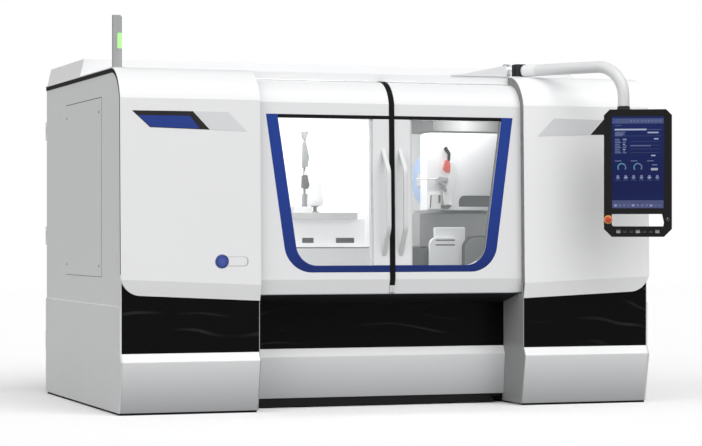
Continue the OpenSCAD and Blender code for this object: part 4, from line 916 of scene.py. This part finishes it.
def table_pieces():
    """Ground table, painted workhead, chuck, bell-shaped dresser and the measuring column."""
    # The carrier's enamel glows a little as painted light, and the faces of its pockets are dark grey as
    # painted shade.
    dress("work_table", TABLE, "work_table", 0.0015, zones=[
        (CARRIER, (-2000, 0, 900), (2000, 3000, 1119.3)),
        (POCKET_GREY, (-500, 600.5, 970), (-20, 621, 1010))])
    dress("workhead", WHITE, "work_table", 0.003)
    dress("chuck", STEEL, "chuck", 0.0012)
    dresser = (-0.2605, FRONT + 0.720, TABLE_TOP)
    bell = [(0.022, 0.040), (0.047, 0.044), (0.050, 0.050), (0.049, 0.078), (0.045, 0.110), (0.037, 0.160),
            (0.030, 0.205), (0.025, 0.240), (0.018, 0.254), (0.006, 0.259), (0.0, 0.2593)]
    lathe("dresser_bell", dresser, bell, WHITE, "work_table", sides=44)
    lathe("dresser_stem", dresser, [(0, SINK), (0.024, SINK), (0.024, 0.006), (0.011, 0.009), (0.011, 0.034),
                                    (0.023, 0.037), (0.023, 0.0405), (0, 0.0405)], MID_GREY, "work_table")
    prism("dresser_base", rounded(0.122, 0.078, 0.010), (0, 0, 0.036), WHITE, "work_table",
          origin=(-0.349, FRONT + 0.722, TABLE_TOP + 0.0002), v=(0, 1, 0), bevel=0.003)
    measuring_column()


def measuring_column():
    """A slim stand with a foot and four clamped blocks: a square body, a link, a grey wedge and a knuckle."""
    x, y = -0.3155, FRONT + 0.760
    post = [(0, SINK), (0.020, SINK), (0.020, 0.012), (0.0075, 0.016), (0.0075, 0.452), (0, 0.4545)]
    lathe("measuring_column", (x, y, TABLE_TOP), post, MID_GREY, "work_table", replaces=("coolant_stand",))
    blocks = [("foot", [(-15, 1192), (15, 1190), (15, 1276), (-11, 1276)], SLIDE_GREY),
              ("body", [(-17, 1310), (19, 1305), (28, 1330), (16, 1391), (-15, 1389)], POCKET_GREY),
              ("link", [(-6, 1391), (14, 1391), (18, 1436), (4, 1436)], CASTING),
              ("wedge", [(-14, 1434), (16, 1440), (26, 1500), (6, 1591), (-9, 1588)], MID_GREY),
              ("knuckle", [(-15, 1622), (4, 1600), (20, 1648), (22, 1660), (-17, 1658)], MID_GREY)]
    for name, outline, finish in blocks:
        prism("column_" + name, np.asarray(outline) * MM, (0, 0.034, 0), finish, "work_table",
              origin=(x, y - 0.017, 0), bevel=0.003)


def drive_pieces():
    """Covers of the cross feed drive on the apron: a square housing, a round-shouldered cover before it with
    two slots drawn as dark tiles of painted shade, and the cover of the ways beside them over a dark gasket."""
    cover = rounded(0.192, 0.400, 0.048, 8) + (0.4985, 0.8105)
    prism("drive_cover", cover, (0, 0.030, 0), CASTING, "machine", origin=(0, FRONT + 0.4815, 0), bevel=0.004,
          replaces=("drive_covers",))
    box = [(0.446, 0.6906), (0.6465, 0.6906), (0.6465, 1.070), (0.446, 1.070)]
    prism("drive_housing", box, (0, 0.0295, 0), CASTING, "machine", origin=(0, FRONT + 0.512, 0), bevel=0.005)
    for name, grow, depth, finish in (
            ("way_gasket", 0.014, 0.4965, SEAM), ("way_cover", 0, 0.4935, WAY_GREY)):
        way = rounded(0.2640 + grow, 0.319 + grow, 0.070 + grow, 9) + (0.7688 - grow / 2, 0.8475 + grow / 2)
        prism(name, way, (0, 0.045, 0), finish, "machine", origin=(0, FRONT + depth, 0), bevel=0.004)
    # The slots are dark tiles of painted shade.
    for name, height in (("upper_slot", 0.9915), ("lower_slot", 0.9625)):
        slot = rounded(0.128, 0.0085, 0.004, 5) + (0.5020, height)
        prism(name, slot, (0, 0.004, 0), POCKET_GREY, "machine", origin=(0, FRONT + 0.4808, 0))


def wheelhead_pieces():
    """Finished wheelhead, cross slide and internal spindle, drive covers, work light, wheel and probe arm."""
    dress("wheelhead", HEAD, "wheelhead", 0.004, segments=3, zones=[
        (POCKET_GREY, (600, 700, 1190), (960, 730, 1290)),
        (SLIDE_GREY, (400, 700, 1150), (1100, 1300, 1179))])
    dress("cross_slide", SLIDE_GREY, "cross_slide", 0.003)
    dress("internal_spindle", STEEL, "internal_spindle", 0.0008)
    drive_pieces()
    paint("work_light", LAMP)
    wheel = (0.51525, FRONT + 0.95005, AXIS_Z)
    rim = [(0.004, 0.0), (0.138, 0.0), (0.1445, 0.003), (0.145, 0.007), (0.145, 0.033), (0.1445, 0.037),
           (0.138, 0.0395), (0.004, 0.0395)]
    lathe("wheel_rim", wheel, rim, GRIT, "grinding_wheel", axis="x", sides=72, replaces=("grinding_wheel",))
    flange = [(0, -0.0119), (0.016, -0.0118), (0.018, -0.010), (0.040, -0.010), (0.044, -0.008),
              (0.049, -0.002), (0.049, 0.002), (0, 0.002)]
    lathe("wheel_flange", wheel, flange, STEEL, "grinding_wheel", axis="x")
    hub = [(0, 0.039), (0.0235, 0.039), (0.0235, 0.190), (0, 0.190)]
    lathe("wheel_hub", wheel, hub, STEEL, "grinding_wheel", axis="x")
    probe_pieces()


def probe_pieces():
    """Probe arm: a cranked white casing with a black tip, a red mark and a grey linkage, its thin stylus, and
    the slotted guard beside it on the wheelhead. Each outline is in millimetres, between two depths."""
    arm, head = "probe_arm", "wheelhead"
    parts = [
        ("probe_casing", arm, 632, 660, PROBE_WHITE, [
            (583, 1466), (604, 1484), (631, 1466), (627, 1358), (606, 1250), (610, 1214), (588, 1202),
            (556, 1204), (549, 1267), (573, 1347), (590, 1408)]),
        ("probe_tip", arm, 638, 652, RUBBER, [
            (556, 1558), (573, 1573), (600, 1532), (596, 1480), (582, 1480), (583, 1522)]),
        ("probe_mark", arm, 626, 644, CORAL, [
            (564, 1488), (584, 1486), (595, 1456), (591, 1412), (575, 1409), (546, 1431)]),
        ("probe_link", arm, 622, 650, MID_LIGHT, [
            (506, 1376), (522, 1387), (577, 1377), (579, 1357), (523, 1349), (508, 1336)]),
        ("probe_lever", arm, 624, 640, MID_GREY, [
            (524, 1343), (552, 1333), (573, 1301), (560, 1291), (531, 1316)]),
        ("probe_foot", arm, 626, 650, POCKET_GREY, [
            (530, 1206), (588, 1214), (606, 1204), (580, 1186), (542, 1190)]),
        ("probe_guard", head, 640, 663, PROBE_WHITE, [
            (458, 1278), (531, 1283), (536, 1276), (536, 1182), (456, 1182)]),
        # The guard's slot is a dark tile of painted shade.
        ("guard_slot", head, 638.6, 650, POCKET_GREY, [(467, 1270), (474, 1270), (469, 1192), (461, 1192)]),
        ("guard_latch", head, 634, 650, POCKET_GREY, [(519, 1272), (531, 1272), (531, 1228), (519, 1220)])]
    for name, body, near, far, finish, outline in parts:
        prism(name, np.asarray(outline) * MM, (0, (far - near) * MM, 0), finish, body, origin=at(0, near, 0),
              bevel=0.003 if far - near > 20 else 0.0015,
              replaces=("probe_arm",) if name == "probe_casing" else ())
    stylus = [(0, 0), (0.0040, 0.0015), (0.0052, 0.005), (0.0040, 0.0088), (0.0032, 0.011), (0.0034, 0.100),
              (0.0052, 0.102), (0.0052, 0.176), (0, 0.176)]
    lathe("probe_stylus", (0.370, FRONT + 0.638, AXIS_Z), stylus, PROBE_WHITE, arm, axis="x", sides=24)


# Studio

def lights_and_camera():
    """Soft frontal key from above, even surroundings that the camera sees as white, and the camera."""
    scene = bpy.context.scene
    scene.world = bpy.data.worlds.new("studio")
    sky = Nodes(scene.world)
    seen = sky.node("LightPath", outlet="Is Camera Ray").greater(
        sky.node("LightPath", outlet="Is Transmission Ray"))
    light, white = (sky.node("Background", {"Color": (1, 1, 1), "Strength": power}) for power in (0.5, 1))
    sky.node("OutputWorld", [sky.node("MixShader", [seen, light, white])])
    for name, energy, spread, place in (
            ("key", 1.5, 52, (2.4, -6.2, 7.8)), ("front_fill", 0.80, 90, (-2.6, -8.0, 1.5)),
            ("left_fill", 1.02, 80, (-8, -2.6, 2.4))):
        sun = bpy.data.lights.new(name, "SUN")
        sun.energy, sun.angle = energy, radians(spread)
        hang(sun, place, (0, 0, 0))
    for x, watts in ((-0.55, 10), (0.6, 7)):
        area = bpy.data.lights.new("inner_lamp", "AREA")
        area.shape, area.size, area.size_y, area.energy = "RECTANGLE", 1.0, 0.5, watts
        hang(area, (x, FRONT + 0.62, 1.845), (x, FRONT + 0.95, 1.0))
    # The camera was solved from the vanishing points of the enclosure's edges.
    camera = bpy.data.cameras.new("camera")
    camera.lens, camera.sensor_width, camera.shift_y, camera.clip_end = 118.583, 36.0, 0.01705, 200
    view = bpy.data.objects.new("camera", camera)
    scene.collection.objects.link(view)
    view.location = (-4.7165, FRONT - 12.7187, 1.0235)
    view.rotation_euler = (pi / 2, 0, radians(-19.2356))
    scene.camera = view
    scene.view_settings.view_transform = "Standard"


def hang(light, place, target):
    """Puts a light at a place and aims it at a target."""
    lamp = bpy.data.objects.new(light.name, light)
    bpy.context.scene.collection.objects.link(lamp)
    lamp.location = place
    lamp.rotation_euler = (Vector(target) - Vector(place)).to_track_quat("-Z", "Y").to_euler()


def studio_floor():
    """A wide pale floor, white to the camera and dull to bounced light."""
    f = Finish("pale_floor")
    camera, glossy, through = (f.node("LightPath", outlet="Is %s Ray" % kind) for kind in (
        "Camera", "Glossy", "Transmission"))
    seen = camera.greater(glossy).greater(through)
    tone = f.mix(f.noise(0.6, 2) * 0.02, (0.97, 0.97, 0.97), (0.93, 0.93, 0.94))
    f.give(base_color=f.mix(seen, (0.25, 0.25, 0.25), tone), roughness=0.9, specular_ior_level=0.1)
    x, y = 30.0 * np.mgrid[-1:2, -1:2]
    co, faces = grid(np.stack([x, y, np.zeros_like(x)], -1))
    mesh = bpy.data.meshes.new("floor")
    mesh.from_pydata(co.tolist(), [], faces)
    mesh.materials.append(f.material)
    floor = bpy.data.objects.new("floor", mesh)
    bpy.context.scene.collection.objects.link(floor)


lights_and_camera()
studio_floor()
dress_enclosure()
dress_doors()
front_marks()
side_details()
seams()
arm_pieces()
panel_pieces()
signal_pieces()
table_pieces()
wheelhead_pieces()
